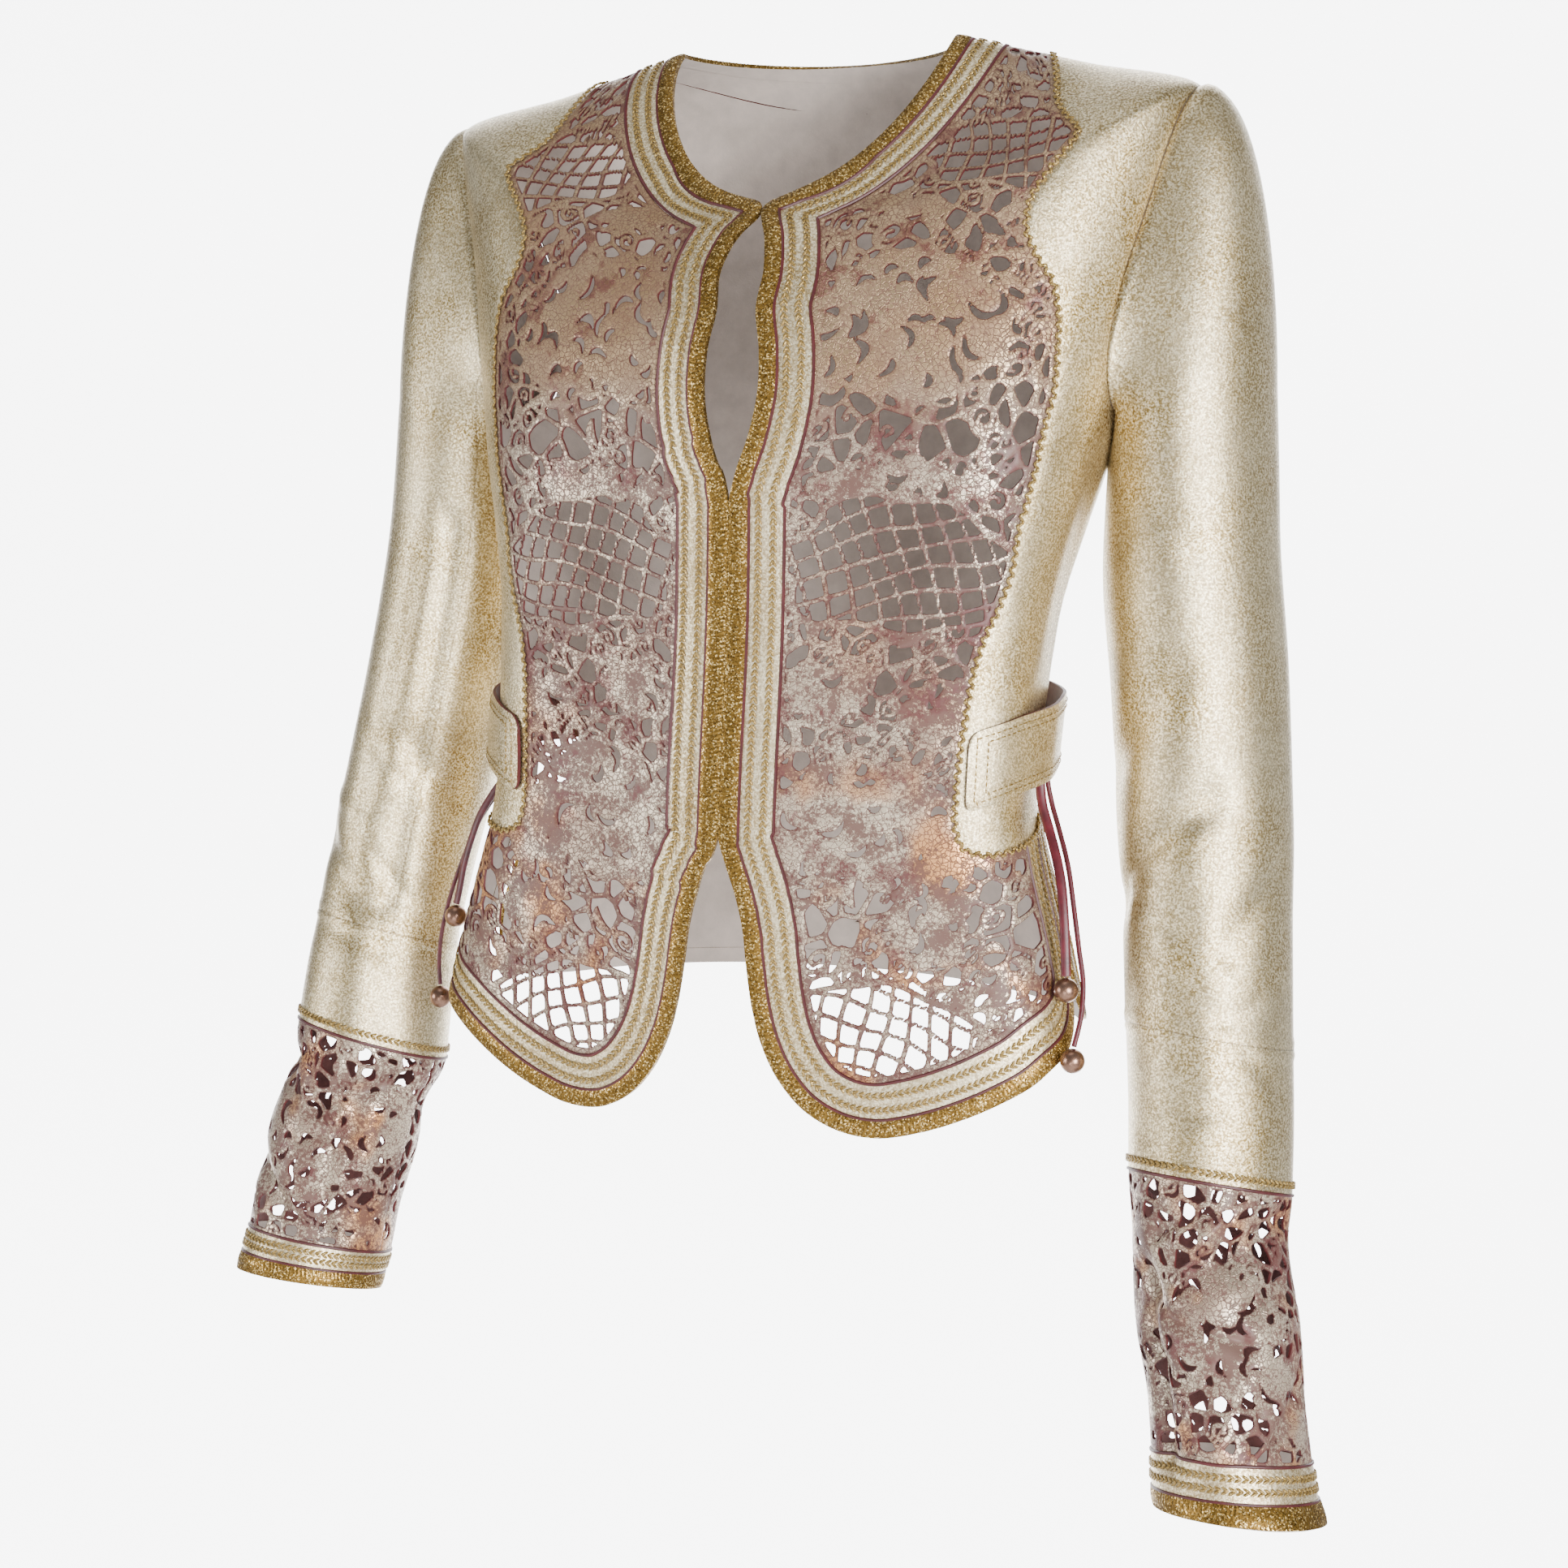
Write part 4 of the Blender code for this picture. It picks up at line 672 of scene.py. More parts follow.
def laceLook():
    # silver foil low on the piece, turned to bronze over the bust by painted shade on the upper part, copper patches
    # mostly at the hip, bare burgundy patches, and a burgundy line at each cut
    look, net, shader, place = newLook("crackled lace foil", 0.5, coat=0.12)
    height = net.add("SeparateXYZ", Vector=place)["Z"]
    # mask of painted shade: 0 below the bust, rising to 1 at the top of the lace
    high = net.add("MapRange", Value=height, FromMin=-0.185, FromMax=-0.155)[0]
    hip = net.add("MapRange", Value=height, FromMin=-0.30, FromMax=-0.36, ToMin=0.25, ToMax=0.95)[0]
    patches = net.noise(place, 17.0, 3.0, 0.6)
    bare = net.rise(net.noise(place, 42.0, 4.0, 0.7)["Fac"], 0.55, 0.62)
    foil = net.mix(net.rise(patches["Fac"], 0.42, 0.62), (0.62, 0.52, 0.39), (0.36, 0.26, 0.19))
    foil = net.mix(net.times(net.rise(patches["Color"], 0.52, 0.6), hip), foil, (0.62, 0.29, 0.11))
    # painted shade: the upper part of the foil darkened to bronze
    foil = net.mix(net.times(high, 0.75), foil, (0.34, 0.21, 0.095))
    worn = net.calc("SUBTRACT", 0.9, net.times(high, 0.5))
    out = net.use("crackle", Vector=place, Foil=foil, Under=(0.09, 0.03, 0.024), Amount=worn)
    near = net.add("Attribute", {"attribute_name": "near"})["Fac"]
    colour = net.mix(net.times(bare, 0.62), out["Color"], (0.1, 0.014, 0.018))
    colour = net.mix(net.times(net.fall(near, 0.18, 0.42), 0.75), colour, (0.07, 0.012, 0.01))
    net.put(shader["Base Color"], colour)
    net.put(shader["Roughness"], net.calc("ADD", net.times(out["Mask"], 0.3), 0.34))
    net.put(shader["Metallic"], net.calc("SUBTRACT", 0.7, net.times(out["Mask"], 0.5), clamp=True))
    net.bump(out["Height"], 0.6, 0.0004)
    return look


def glitterLook(name, base, spark, dark, metallic=0.85, size=1700.0):
    look, net, shader, place = newLook(name, metallic)
    out = net.use("glitter", Vector=place, Base=base, Spark=spark, Dark=dark, Size=size)
    net.put(shader["Base Color"], out["Color"])
    net.put(shader["Roughness"], out["Rough"])
    net.bump(out["Height"], 0.35, 0.0003)
    return look


def plainLook(name, colour, metallic, roughness, scale, vary, strength, sheen=0.0):
    # one colour with cloudy variation and a fine nap
    look, net, shader, place = newLook(name, metallic)
    nap = net.noise(place, scale * 12, 2.0, 0.6)["Fac"]
    shades = [tuple(min(1, c * share) for c in colour) for share in (1 - vary, 1 + vary)]
    net.put(shader["Base Color"], net.ramp(net.noise(place, scale, 4.0, 0.65)["Fac"], zip((0.3, 0.7), shades)))
    net.put(shader["Roughness"], net.calc("ADD", net.times(nap, 0.2), roughness - 0.1))
    shader["Sheen Weight"].default_value = sheen
    net.bump(nap, strength, 0.0003)
    return look


looks = {
    "foil": foilLook("champagne foiled leather", (0.46, 0.33, 0.13), (0.13, 0.078, 0.018), (0.95, 0.85, 0.6),
                     metallic=0.88),
    "band": foilLook("light foiled leather", (0.56, 0.43, 0.22), (0.24, 0.15, 0.055), (0.96, 0.87, 0.64),
                     grain=900.0, paintedSeamShade=False),
    "lace": laceLook(),
    "cut": plainLook("burgundy cut edge", (0.075, 0.01, 0.01), 0.0, 0.55, 120.0, 0.35, 0.3),
    "suede": plainLook("pale suede", (0.5, 0.43, 0.38), 0.0, 0.85, 90.0, 0.12, 0.4, sheen=0.2),
    "laceSuede": plainLook("burgundy brown suede", (0.13, 0.045, 0.04), 0.0, 0.85, 90.0, 0.3, 0.5, sheen=0.25),
    "piping": plainLook("burgundy piping", (0.06, 0.006, 0.008), 0.0, 0.5, 150.0, 0.3, 0.3),
    "braid": glitterLook("dark gold glitter braid", (0.2, 0.115, 0.022), (0.85, 0.62, 0.26), (0.06, 0.026, 0.004)),
    "thread": glitterLook("dull gold thread", (0.27, 0.175, 0.05), (0.75, 0.55, 0.22), (0.1, 0.055, 0.012),
                          0.6, 2600.0),
    "cord": plainLook("burgundy lace leather", (0.085, 0.006, 0.012), 0.0, 0.42, 160.0, 0.4, 0.25),
    "bead": plainLook("bronze bead", (0.26, 0.15, 0.105), 0.95, 0.3, 220.0, 0.25, 0.15),
}
foilFaces = [looks["foil"], looks["suede"], looks["cut"]]
laceFaces = [looks["lace"], looks["laceSuede"], looks["cut"]]
print("looks ready:", len(looks))


# lace
lace = {
    "step": 1.4,          # grid of the cut-out sheets
    "border": 3.2,        # plain margin inside each outline
    "netPitch": 9.4,
    "drop": 0.3,          # how far the surface rounds down to a cut
}
cuffSolids = ((46, 62, 27, 25), (92, 40, 18, 24), (14, 92, 17, 17), (158, 58, 28, 26), (206, 44, 17, 22),
              (112, 92, 26, 15))
leafWidth = np.sin(np.linspace(0, np.pi, 12))    # share of its full width along a leaf
dice = np.random.default_rng(11)


def drawLine(field, uv, line, half):
    # raises the field to half width less the distance from a line, whose half width may vary along it
    half = np.zeros(len(line)) + half
    reach = half.max() + 3.0
    close = np.nonzero(((uv > line.min(0) - reach) & (uv < line.max(0) + reach)).all(1))[0]
    if not len(close):
        return
    a, way = line[:-1], np.diff(line, axis=0)
    d = uv[close][:, None] - a
    t = np.clip((d * way).sum(2) / np.maximum((way * way).sum(1), 1e-9), 0, 1)
    far = np.linalg.norm(d - t[..., None] * way, axis=2)
    field[close] = np.maximum(field[close], (half[:-1] * (1 - t) + half[1:] * t - far).max(1))


def spiral(centre, radius, angle, hand, turns=1.35):
    # radius shrinks in step with the turn
    t = np.linspace(0, 1, 26)
    r, turn = radius * (1 - 0.82 * t), angle + hand * turns * 2 * np.pi * t
    return np.array(centre) + np.stack([r * np.cos(turn), r * np.sin(turn)], 1)


def leafLine(centre, length, angle, bend=0.25):
    # a bowed line: its sideways throw is a half sine
    t = np.linspace(-0.5, 0.5, 12)
    x, y = length * t, length * bend * np.cos(np.pi * t)
    c, s = math.cos(angle), math.sin(angle)
    return np.array(centre) + np.stack([x * c - y * s, x * s + y * c], 1)


def seedsIn(low, high, pitch, jitter=0.28):
    # staggered points with some disorder
    points = [(x + (j % 2) * pitch / 2, y) for j, y in enumerate(np.arange(low[1], high[1], pitch * 0.87))
              for x in np.arange(low[0], high[0], pitch)]
    return np.array(points) + dice.normal(0, jitter * pitch * 0.5, (len(points), 2))


def cellStrands(uv, seeds, half):
    # strands between cells: half width less half the difference of the two nearest seeds' distances
    result = np.zeros(len(uv))
    for k in range(0, len(uv), 6000):
        d = np.linalg.norm(uv[k:k + 6000][:, None] - seeds, axis=2)
        two = np.partition(d, 1, axis=1)[:, :2]
        result[k:k + 6000] = half - (two[:, 1] - two[:, 0]) / 2
    return result


def netField(uv, angle, pitch, half):
    # two sets of parallel lines
    a = math.radians(angle)
    x = uv[:, 0] * math.cos(a) + uv[:, 1] * math.sin(a)
    y = uv[:, 1] * math.cos(a) - uv[:, 0] * math.sin(a)
    off = lambda v: pitch / 2 - abs((v % pitch) - pitch / 2)
    return half - np.minimum(off(x), off(y))


def blob(uv, centre, size, wave=0.0, power=2.3):
    # signed depth inside a rounded shape of those half sizes, with a scalloped rim
    x, y = (uv[:, 0] - centre[0]) / size[0], (uv[:, 1] - centre[1]) / size[1]
    turn = np.arctan2(y, x)
    return (1 + wave * np.cos(7 * turn + centre[0]) - (abs(x) ** power + abs(y) ** power) ** (1 / power)) * min(size)


def patch(uv, centre, size, parts=7):
    # a rounded shape with smaller ones round its rim, so its outline is irregular
    field = blob(uv, centre, (size[0] * 0.82, size[1] * 0.82), 0.05)
    for k in range(parts):
        turn = 2 * np.pi * (k + 0.6 * dice.random()) / parts
        r = min(size) * (0.3 + 0.22 * dice.random())
        spot = (centre[0] + 0.72 * size[0] * math.cos(turn), centre[1] + 0.72 * size[1] * math.sin(turn))
        field = np.maximum(field, blob(uv, spot, (r * 1.25, r), 0.1))
    return field


def carve(uv, region, pitch, size, half):
    # small leaf-shaped openings cut inside a solid patch
    holes = np.full(len(uv), -9.0)
    inner = uv[region > 2.5]
    if len(inner):
        for k, seed in enumerate(seedsIn(inner.min(0), inner.max(0) + 1, pitch, 0.7)):
            drawLine(holes, uv, leafLine(seed, size * (0.6 + 0.9 * dice.random()), 2.2 * dice.random() + k, 0.32),
                     half * (0.25 + leafWidth))
    return np.where(region > 1.6, -holes, 9.0)


def warped(uv):
    # long gentle waves, so that nets and shapes bend as cut leather does
    u, v = uv.T
    return np.stack([u + 2.6 * np.sin(v / 17 + 0.8) + 1.3 * np.sin((u + v) / 9),
                     v + 2.2 * np.sin(u / 15) + 1.1 * np.sin((v - u) / 8 + 2)], 1)


# nets: middle, half sizes and angle; solids: middle, half sizes, lobes and pitch of the openings;
# open: bands of height where some cells are left out
frontPattern = {
    "nets": ((110, -50, 44, 22, 10), (74, -238, 50, 29, 14), (78, -447, 46, 26, -16), (140, -150, 10, 20, 40)),
    "solids": ((70, -137, 50, 29, 9, 13), (78, -203, 50, 9, 6, 14), (62, -352, 42, 27, 8, 15),
               (48, -292, 18, 12, 7, 14), (104, -298, 13, 15, 6, 12), (98, -386, 16, 26, 8, 12),
               (66, -84, 26, 8, 6, 12), (132, -418, 16, 10, 6, 11)),
    "open": ((-191, -165), (-409, -385)),
}


def frontLaceField(uv):
    # generic lace: cells with scrolls and leaves, nets and carved solid patches
    uv = warped(uv)
    low, high = uv.min(0) - 8, uv.max(0) + 8
    seeds = seedsIn(low, high, 10.6, 0.42)
    keep = np.ones(len(seeds), bool)
    for bottom, top in frontPattern["open"]:
        keep &= ~((seeds[:, 1] > bottom) & (seeds[:, 1] < top) & (dice.random(len(seeds)) < 0.42))
    seeds = seeds[keep]
    field = cellStrands(uv, seeds, 1.05)
    for k, seed in enumerate(seeds):
        kind, turn, hand = k % 7, dice.random() * 6.28, 1 if k % 2 else -1
        if kind in (0, 3):
            drawLine(field, uv, spiral(seed, 4.8 + 2.4 * dice.random(), turn, hand, 1.5), np.linspace(1.25, 0.85, 26))
        elif kind in (1, 4):
            drawLine(field, uv, leafLine(seed, 10 + 5 * dice.random(), turn), 0.6 + 2.1 * leafWidth)
        elif kind == 5:
            drawLine(field, uv, spiral(seed, 3.2, 0, 1, 1.0), 0.85)
    for x, y, a, b, angle in frontPattern["nets"]:
        region = blob(uv, (x, y), (a, b), 0.07)
        field = np.where(region > 0, netField(uv, angle, lace["netPitch"], 0.9), field)
        field = np.maximum(field, 1.2 - abs(region))
    for x, y, a, b, parts, pitch in frontPattern["solids"]:
        region = patch(uv, (x, y), (a, b), parts)
        field = np.maximum(field, region)
        field = np.minimum(field, carve(uv, region, pitch, 8.0, 1.15))
    return field


def cuffLaceField(uv):
    # the same kind of lace at the scale of a cuff, with the solid patches nearly all over
    uv = warped(uv)
    seeds = seedsIn(uv.min(0) - 8, uv.max(0) + 8, 9.8, 0.4)
    field = cellStrands(uv, seeds, 1.05)
    for k, seed in enumerate(seeds):
        if k % 4 == 0:
            drawLine(field, uv, spiral(seed, 4.6, dice.random() * 6.28, 1 if k % 2 else -1), 1.0)
        elif k % 4 == 2:
            drawLine(field, uv, leafLine(seed, 12, dice.random() * 3.14), 0.7 + 2.6 * leafWidth)
    for x, y, a, b in cuffSolids:
        region = patch(uv, (x, y), (a, b), 8)
        field = np.minimum(np.maximum(field, region), carve(uv, region, 13, 7.0, 1.1))
    return field


def ridges(x, y, table, fade=None, wrapped=False):
    # sum of Gaussian ridges about straight lines (x0, y0) to (x1, y1), each with its half breadth and height;
    # past a line's ends it fades over its own breadth or a given one, and a wrapped x is an angle
    total = np.zeros(np.broadcast(x, y).shape)
    for x0, y0, x1, y1, wide, high in table:
        across, run = x - x0, x1 - x0
        if wrapped:
            across, run = np.radians((across + 180) % 360 - 180) * armGirth, math.radians(run) * armGirth
        way = np.array([run, y1 - y0], float)
        length = np.hypot(*way)
        way /= length
        along, off = across * way[0] + (y - y0) * way[1], across * way[1] - (y - y0) * way[0]
        ends = np.clip(np.maximum(-along, along - length), 0, None)
        total += high * bell(off, wide) * bell(ends, fade or wide)
    return total


def edgeLines(side, letter):
    # front edge from behind the shoulder seam down round the hem and up the vent
    toSpace = frontMap(side)
    shift = side * cloth["closure"]
    start = runOf(cloth["shoulderPhi"] + 14, cloth["neckRow"])[0] - shift
    neck = [(e, cloth["neckRow"]) for e in np.linspace(start, 34, 10)]
    corner = [(seamRun(h)[0] - cloth["ventGap"] / 2 - shift - inset, h) for h, inset in ventCorner]
    lift = cloth["hemLift"][letter]
    corner = [(e, h + lift * np.interp(h, (60, 100), (1, 0))) for e, h in corner]
    hem = [(e, h + lift * np.interp(e, (60, 135), (0, 1))) for e, h in frontEdge]
    edge = smooth(neck + hem + corner, 1.5)
    edge[:, 0] = np.maximum(edge[:, 0], 0.15)
    edge[:, 1] = np.minimum(edge[:, 1], cloth["neckRow"])
    return edge


def matched(outer, inner, toSpace):
    # pairs of places along two lines, each point with the nearest on the other, kept in order
    a, b = toSpace(outer), toSpace(inner)
    far = np.linalg.norm(a[:, None] - b[None], axis=2)
    pairs = np.concatenate([np.stack([np.arange(len(a)), far.argmin(1)], 1),
                            np.stack([far.argmin(0), np.arange(len(b))], 1)])
    pairs = pairs[np.argsort(pairs.sum(1), kind="stable")]
    pairs = np.maximum.accumulate(pairs, axis=0)
    pairs = np.unique(np.concatenate([[[0, 0]], pairs, [[len(a) - 1, len(b) - 1]]]), axis=0)
    return outer[pairs[:, 0]], inner[pairs[:, 1]]


def ribWave(s, t):
    # ribs of the glitter braid, by length along it and share of its width
    return abs(np.sin(np.pi * (s + 2.6 * abs(t - 0.5)) / 1.9)) - 0.5


def ribbon(name, outer, inner, toSpace, facing, look, wall, lift, across, slot, nodes, rib=0.0, puff=0.0):
    # strip ruled between two lines; ribs are a rectified sine along it, slanted to a chevron, and
    # puff swells it as a half sine between its edges
    first, last = matched(outer, inner, toSpace)
    at = chainage(toSpace((first + last) / 2))
    keep = np.concatenate([[True], np.diff(at) > 1e-4])
    at, first, last = at[keep], first[keep], last[keep]
    step = 0.6 if rib else 2.0
    where = np.linspace(0, at[-1], int(at[-1] / step) + 2)
    first, last = sample(first, at, where), sample(last, at, where)
    t = np.linspace(0, 1, across)
    flat = (first[:, None] * (1 - t[:, None]) + last[:, None] * t[:, None]).reshape(-1, 2)
    s, t = np.repeat(where, across), np.tile(t, len(where))
    rise = lift + puff * np.sin(np.pi * t) ** 0.7
    if rib:
        rise = rise + rib * ribWave(s, t) * np.sin(np.pi * np.clip(t, 0.03, 0.97)) ** 0.3
    return skin(name, flat, gridFaces(across, len(where)), toSpace, facing, [look, looks["suede"], look], wall, rise,
                slot=slot, nodes=nodes)


def onLine(curve, toSpace, facing, lift=0.0):
    spot, along, up, normal = frameAt(curve, toSpace)
    return spot + facing * normal * lift, facing * normal


def piping(spots, normals):
    return tubeAlong("pipe", spots, normals, 0.75, 0.7, looks["piping"], 6, "cord_leather")


def trimLines(edge, toSpace, hand):
    # the edge and the lines that the trim needs at real distances inside it
    lines = {0: edge}
    for distance in (cloth["braid"], *cloth["stitches"], cloth["trim"]):
        lines[distance] = insetCurve(edge, distance, toSpace, hand)
    return {distance: evenly(line, toSpace, 1.5) for distance, line in lines.items()}


def buildTrim(start, end, lines, toSpace, facing):
    # glitter braid, leather band, piping at both sides of the band, and two rows of stitches
    tail = end if len(end) == 1 else end.lower()
    braidLine, bandLine = lines[cloth["braid"]], lines[cloth["trim"]]
    braid = ribbon(start + "Braid" + end, lines[0], braidLine, toSpace, facing, looks["braid"], 1.6, 0.55, 7,
                   "glitter_braid", [start + "_braid_" + tail], rib=0.55, puff=0.45)
    band = ribbon(start + "Band" + end, braidLine, bandLine, toSpace, facing, looks["band"], 1.3, 0.0, 9,
                  "trim_leather", [start + "_band_" + tail], puff=0.35)
    pipes = [piping(*onLine(line, toSpace, facing, 0.25)) for line in (braidLine, bandLine)]
    pipes = joinPieces(start + "Piping" + end, pipes)
    rows = [stitchRow("row", *onLine(lines[d], toSpace, facing, 0.3), looks["thread"]) for d in cloth["stitches"]]
    long = chainage(toSpace(lines[cloth["stitches"][0]]))[-1] * mm
    declareCloth(band, 0.0165, long * 1.03, [braid, pipes, joinPieces(start + "Stitching" + end, rows)])


def laceSheet(name, node, xs, ys, field, toSpace, side, width, length):
    flat, faces, near = cutOut(xs, ys, field, toSpace)
    rise = 0.2 + lace["drop"] * (np.clip(near / 0.8, 0, 1) - 1)
    piece = skin(name, flat, faces, toSpace, side, laceFaces, 1.0, rise,
                 near=near, slot="lace_leather", nodes=[node])
    declareCloth(piece, width, length)


def buildFront(side, letter):
    toSpace = frontMap(side)
    shift = np.array([side * cloth["closure"], 0])
    edge = edgeLines(side, letter)
    lines = trimLines(edge, toSpace, 1)
    seam = shoulderSeam() - shift
    seam = np.concatenate([[seam[0] + (seam[0] - seam[1])], seam])
    top = np.array([np.interp(sideLineTop, seam[::-1, 1], seam[::-1, 0]), sideLineTop])
    ventTop = np.array([seamRun(cloth["ventTop"])[0] - shift[0], cloth["ventTop"]])
    sideLine = evenly(smooth([top] + list(sideLinePoints) + [ventTop], 1.0), toSpace, 0.5)
    for distance, line in lines.items():
        half = len(line) // 2
        lines[distance] = stretch(line, crossing(line, seam)[0], crossing(line[half:], sideLine[::4])[0] + half)

    buildTrim("front", letter, lines, toSpace, side)
    seamLine = np.concatenate([seam[1:], loopFine[:sideSeamAt + 1] - shift, sideSeam() - shift])
    outline = np.concatenate([lines[0], seamLine[::-1]])
    panel = np.concatenate([sideLine, [(420, cloth["ventTop"]), (420, 620), (sideLine[0, 0], 620)]])
    seamSpots = toSpace(evenly(seamLine, toSpace, 1.0))
    edgeSpots = toSpace(evenly(edge, toSpace, 1.5))
    sideSpots = toSpace(sideLine)

    def parts(flat, spots):
        within = np.where(inside(flat, outline), 1.0, -1.0)
        onPanel = np.where(inside(flat, panel), -1.0, 1.0)
        return (within * distanceTo(spots, seamSpots), distanceTo(spots, edgeSpots),
                onPanel * distanceTo(spots, sideSpots), within)

    def laceField(flat, spots):
        bySeam, byEdge, bySide, within = parts(flat, spots)
        byEdge = np.where((within > 0) | (bySeam > -3), byEdge - cloth["trim"], -9.0)
        shape = np.minimum(np.minimum(bySeam, bySide), byEdge) - cloth["seam"]
        blend = np.clip((flat[:, 1] - 360) / 90, 0, 1)
        u = flat[:, 0] * (1 - blend) + (side * (spots[:, 0] - cloth["closure"])) * blend
        v = spots[:, 2] + 0.45 * np.maximum(spots[:, 1] + 72, 0) * blend
        pattern = np.full(len(flat), -5.0)
        some = shape > -3
        dice.bit_generator.state = np.random.default_rng(11).bit_generator.state
        pattern[some] = frontLaceField(np.stack([u[some], v[some]], 1))
        return np.minimum(shape, np.maximum(pattern, lace["border"] - abs(shape)))

    def panelField(flat, spots):
        bySeam, byEdge, bySide, within = parts(flat, spots)
        return np.minimum(bySeam, -bySide) - cloth["seam"]

    laceSheet("frontLace" + letter, "front_lace_" + letter, np.arange(22, 186, lace["step"]),
              np.arange(2, 556, lace["step"] * 1.08), laceField, toSpace, side, 0.135, 0.5)

    flat, faces, near = cutOut(np.arange(96, 262, 2.6), np.arange(138, 540, 2.6), panelField, toSpace)
    rise = 0.15 + seamDip(near) + ridges(flat[:, 0], flat[:, 1], panelFolds, 25)
    piece = skin("sidePanel" + letter, flat, faces, toSpace, side, foilFaces, cloth["wall"], rise, near=near,
                 slot="foiled_leather", nodes=["side_front_" + letter])
    line = stretch(sideLine, 2, len(sideLine) - 3)
    spots, normals = onLine(line, toSpace, side, 0.35)
    wave = 1.0 * np.sin(np.arange(len(spots)) * 0.5 * 2 * np.pi / 4.6)
    sideways = unit(np.cross(normals, np.gradient(spots, axis=0)))
    stitches = stitchRow("sideStitching" + letter, spots + sideways * wave[:, None], normals, looks["thread"],
                         2.3, (1.55, 0.78, 0.7), 0)
    declareCloth(piece, 0.13, 0.4, [stitches])


def buildBack():
    toBack = lambda points: np.stack([halfRun(points[:, 1]) - points[:, 0], points[:, 1]], 1)
    seam, under = toBack(shoulderSeam()), toBack(sideSeam())
    loop = toBack(loopFine)
    mirror = np.array([-1.0, 1.0])
    row = cloth["neckRow"]
    reach = halfRun(row)[0] - runOf(cloth["shoulderPhi"] - 14, row)[0]
    neck = np.stack([np.linspace(reach, -reach, 321), np.full(321, row)], 1)

    def ventRun(h):
        return halfRun(h)[0] - seamRun(h)[0] - cloth["ventGap"] / 2

    half = smooth([(ventRun(h), h) for h in (176, 130, 100, 84)]
                  + [(ventRun(h) - inset, h) for h, inset in ((68, 3), (55, 9), (45, 18), (38.5, 32))]
                  + [(t, cloth["hemBack"]) for t in (ventRun(cloth["hemBack"]) - 52, 120, 90, 60, 30, 0)], 1.5)
    hem = np.concatenate([half, half[-2::-1] * mirror])
    longSeam = np.concatenate([[seam[0] + (seam[0] - seam[1])], seam])
    top = np.array([(400.0, cloth["ventTop"]), (-400.0, cloth["ventTop"])])
    for key, edge, hand in (("neck", neck, 1), ("hem", hem, -1)):
        lines = trimLines(edge, backMap, hand)
        first, last = (longSeam, longSeam * mirror) if key == "neck" else (top, top)
        for distance, line in lines.items():
            half = len(line) // 2
            lines[distance] = stretch(line, crossing(line[:half], first)[0], crossing(line[half:], last)[0] + half)
        buildTrim(key, "Back", lines, backMap, -1)
    neckSpots, hemSpots = backMap(neck), backMap(evenly(hem, backMap, 1.5))
    for sign, letter in ((1, "L"), (-1, "R")):
        flip = np.array([sign, 1.0])
        rows = np.linspace(cloth["hemBack"], row, 300)
        spine = np.stack([rows * 0, rows], 1)
        border = np.concatenate([seam, loop[:sideSeamAt - 1:-1], under]) * flip
        lower = hem[:len(hem) // 2 + 1] * flip
        lower = lower[lower[:, 1] < cloth["ventTop"]]
        outline = np.concatenate([spine, border, lower])
        borderSpots, spineSpots = backMap(evenly(border, backMap, 1.0)), backMap(spine)

        def field(flat, spots):
            within = np.where(inside(flat, outline), 1.0, -1.0)
            trims = np.minimum(distanceTo(spots, neckSpots), distanceTo(spots, hemSpots))
            sides = np.minimum(distanceTo(spots, borderSpots), distanceTo(spots, spineSpots))
            trims = np.where((within > 0) | (sides < 3), trims - cloth["trim"], -9.0)
            return np.minimum(within * sides, trims) - cloth["seam"]

        flat, faces, near = cutOut(np.arange(-3.4, 262, 3.4) * sign, np.arange(34, 556, 3.6), field, backMap)
        piece = skin("back" + letter, flat, faces, backMap, -1, foilFaces, cloth["wall"],
                     0.15 + seamDip(near), near=near, slot="foiled_leather", nodes=["back_" + letter])
        declareCloth(piece, 0.21, 0.5)


# sleeves
# rings of each sleeve: height, middle in x and y, half sizes in x and y, lean outwards and nod forwards
sleeveRings = ("bicep", "upper", "mid", "low", "bend", "elbow", "band", "wrist",
               "dent", "cuff", "lowCuff", "laceEnd", "bandEnd", "hem")
sleeves = {
    "L": (
        (-178, 180, 2, 36, 45, 20, 0), (-230, 181, 0, 38, 45, 12, 1), (-290, 187, -4, 38.5, 44, 5, 2),
        (-350, 192, -10, 38.5, 42, 0, 4), (-395, 196, -18, 37, 40, -2, 6), (-444.5, 200, -27, 36.5, 38, -4, 7),
        (-477, 203, -34, 36, 37, -3, 8.5), (-507, 205, -41, 35.5, 36, -2.5, 9.5),
        (-530, 207, -47, 33.5, 36, 0, 9.5), (-564, 213, -56, 35.5, 37, 1, 9.5),
        (-596, 220, -65, 33.5, 37, 1.5, 9.5), (-618, 224, -71, 34, 37, 1, 9.5), (-632, 227, -76, 35, 37, 1, 9),
        (-640, 230, -79, 36, 38, 0, 9)),
    "R": (
        (-178, -183, 2, 35, 45, 20, 0), (-230, -188, 0, 35, 44, 13, 1), (-290, -198, -5, 35, 43, 8, 2),
        (-350, -210, -12, 34.5, 41, 7, 4), (-390, -217, -20, 34, 38, 7, 6), (-424, -221, -28, 33.5, 36, 7, 7),
        (-451, -222, -35, 35, 37, 7.5, 8), (-479, -222.5, -42, 36, 37, 8, 9),
        (-504, -228, -48, 33.5, 35, 7, 9), (-530, -234, -54, 35, 37, 6, 9), (-558, -239, -61, 34.5, 36, 5, 9),
        (-578, -241, -65, 34.5, 35, 4, 9), (-589, -242.5, -69, 34.5, 35, 3, 9),
        (-597, -243.5, -72, 35, 34, 2, 9)),
}
sleeveSeams = {"L": (9, 17), "R": (7, 16)}    # in twentieths of a turn from the outer line towards the front
capDepth = 60.0
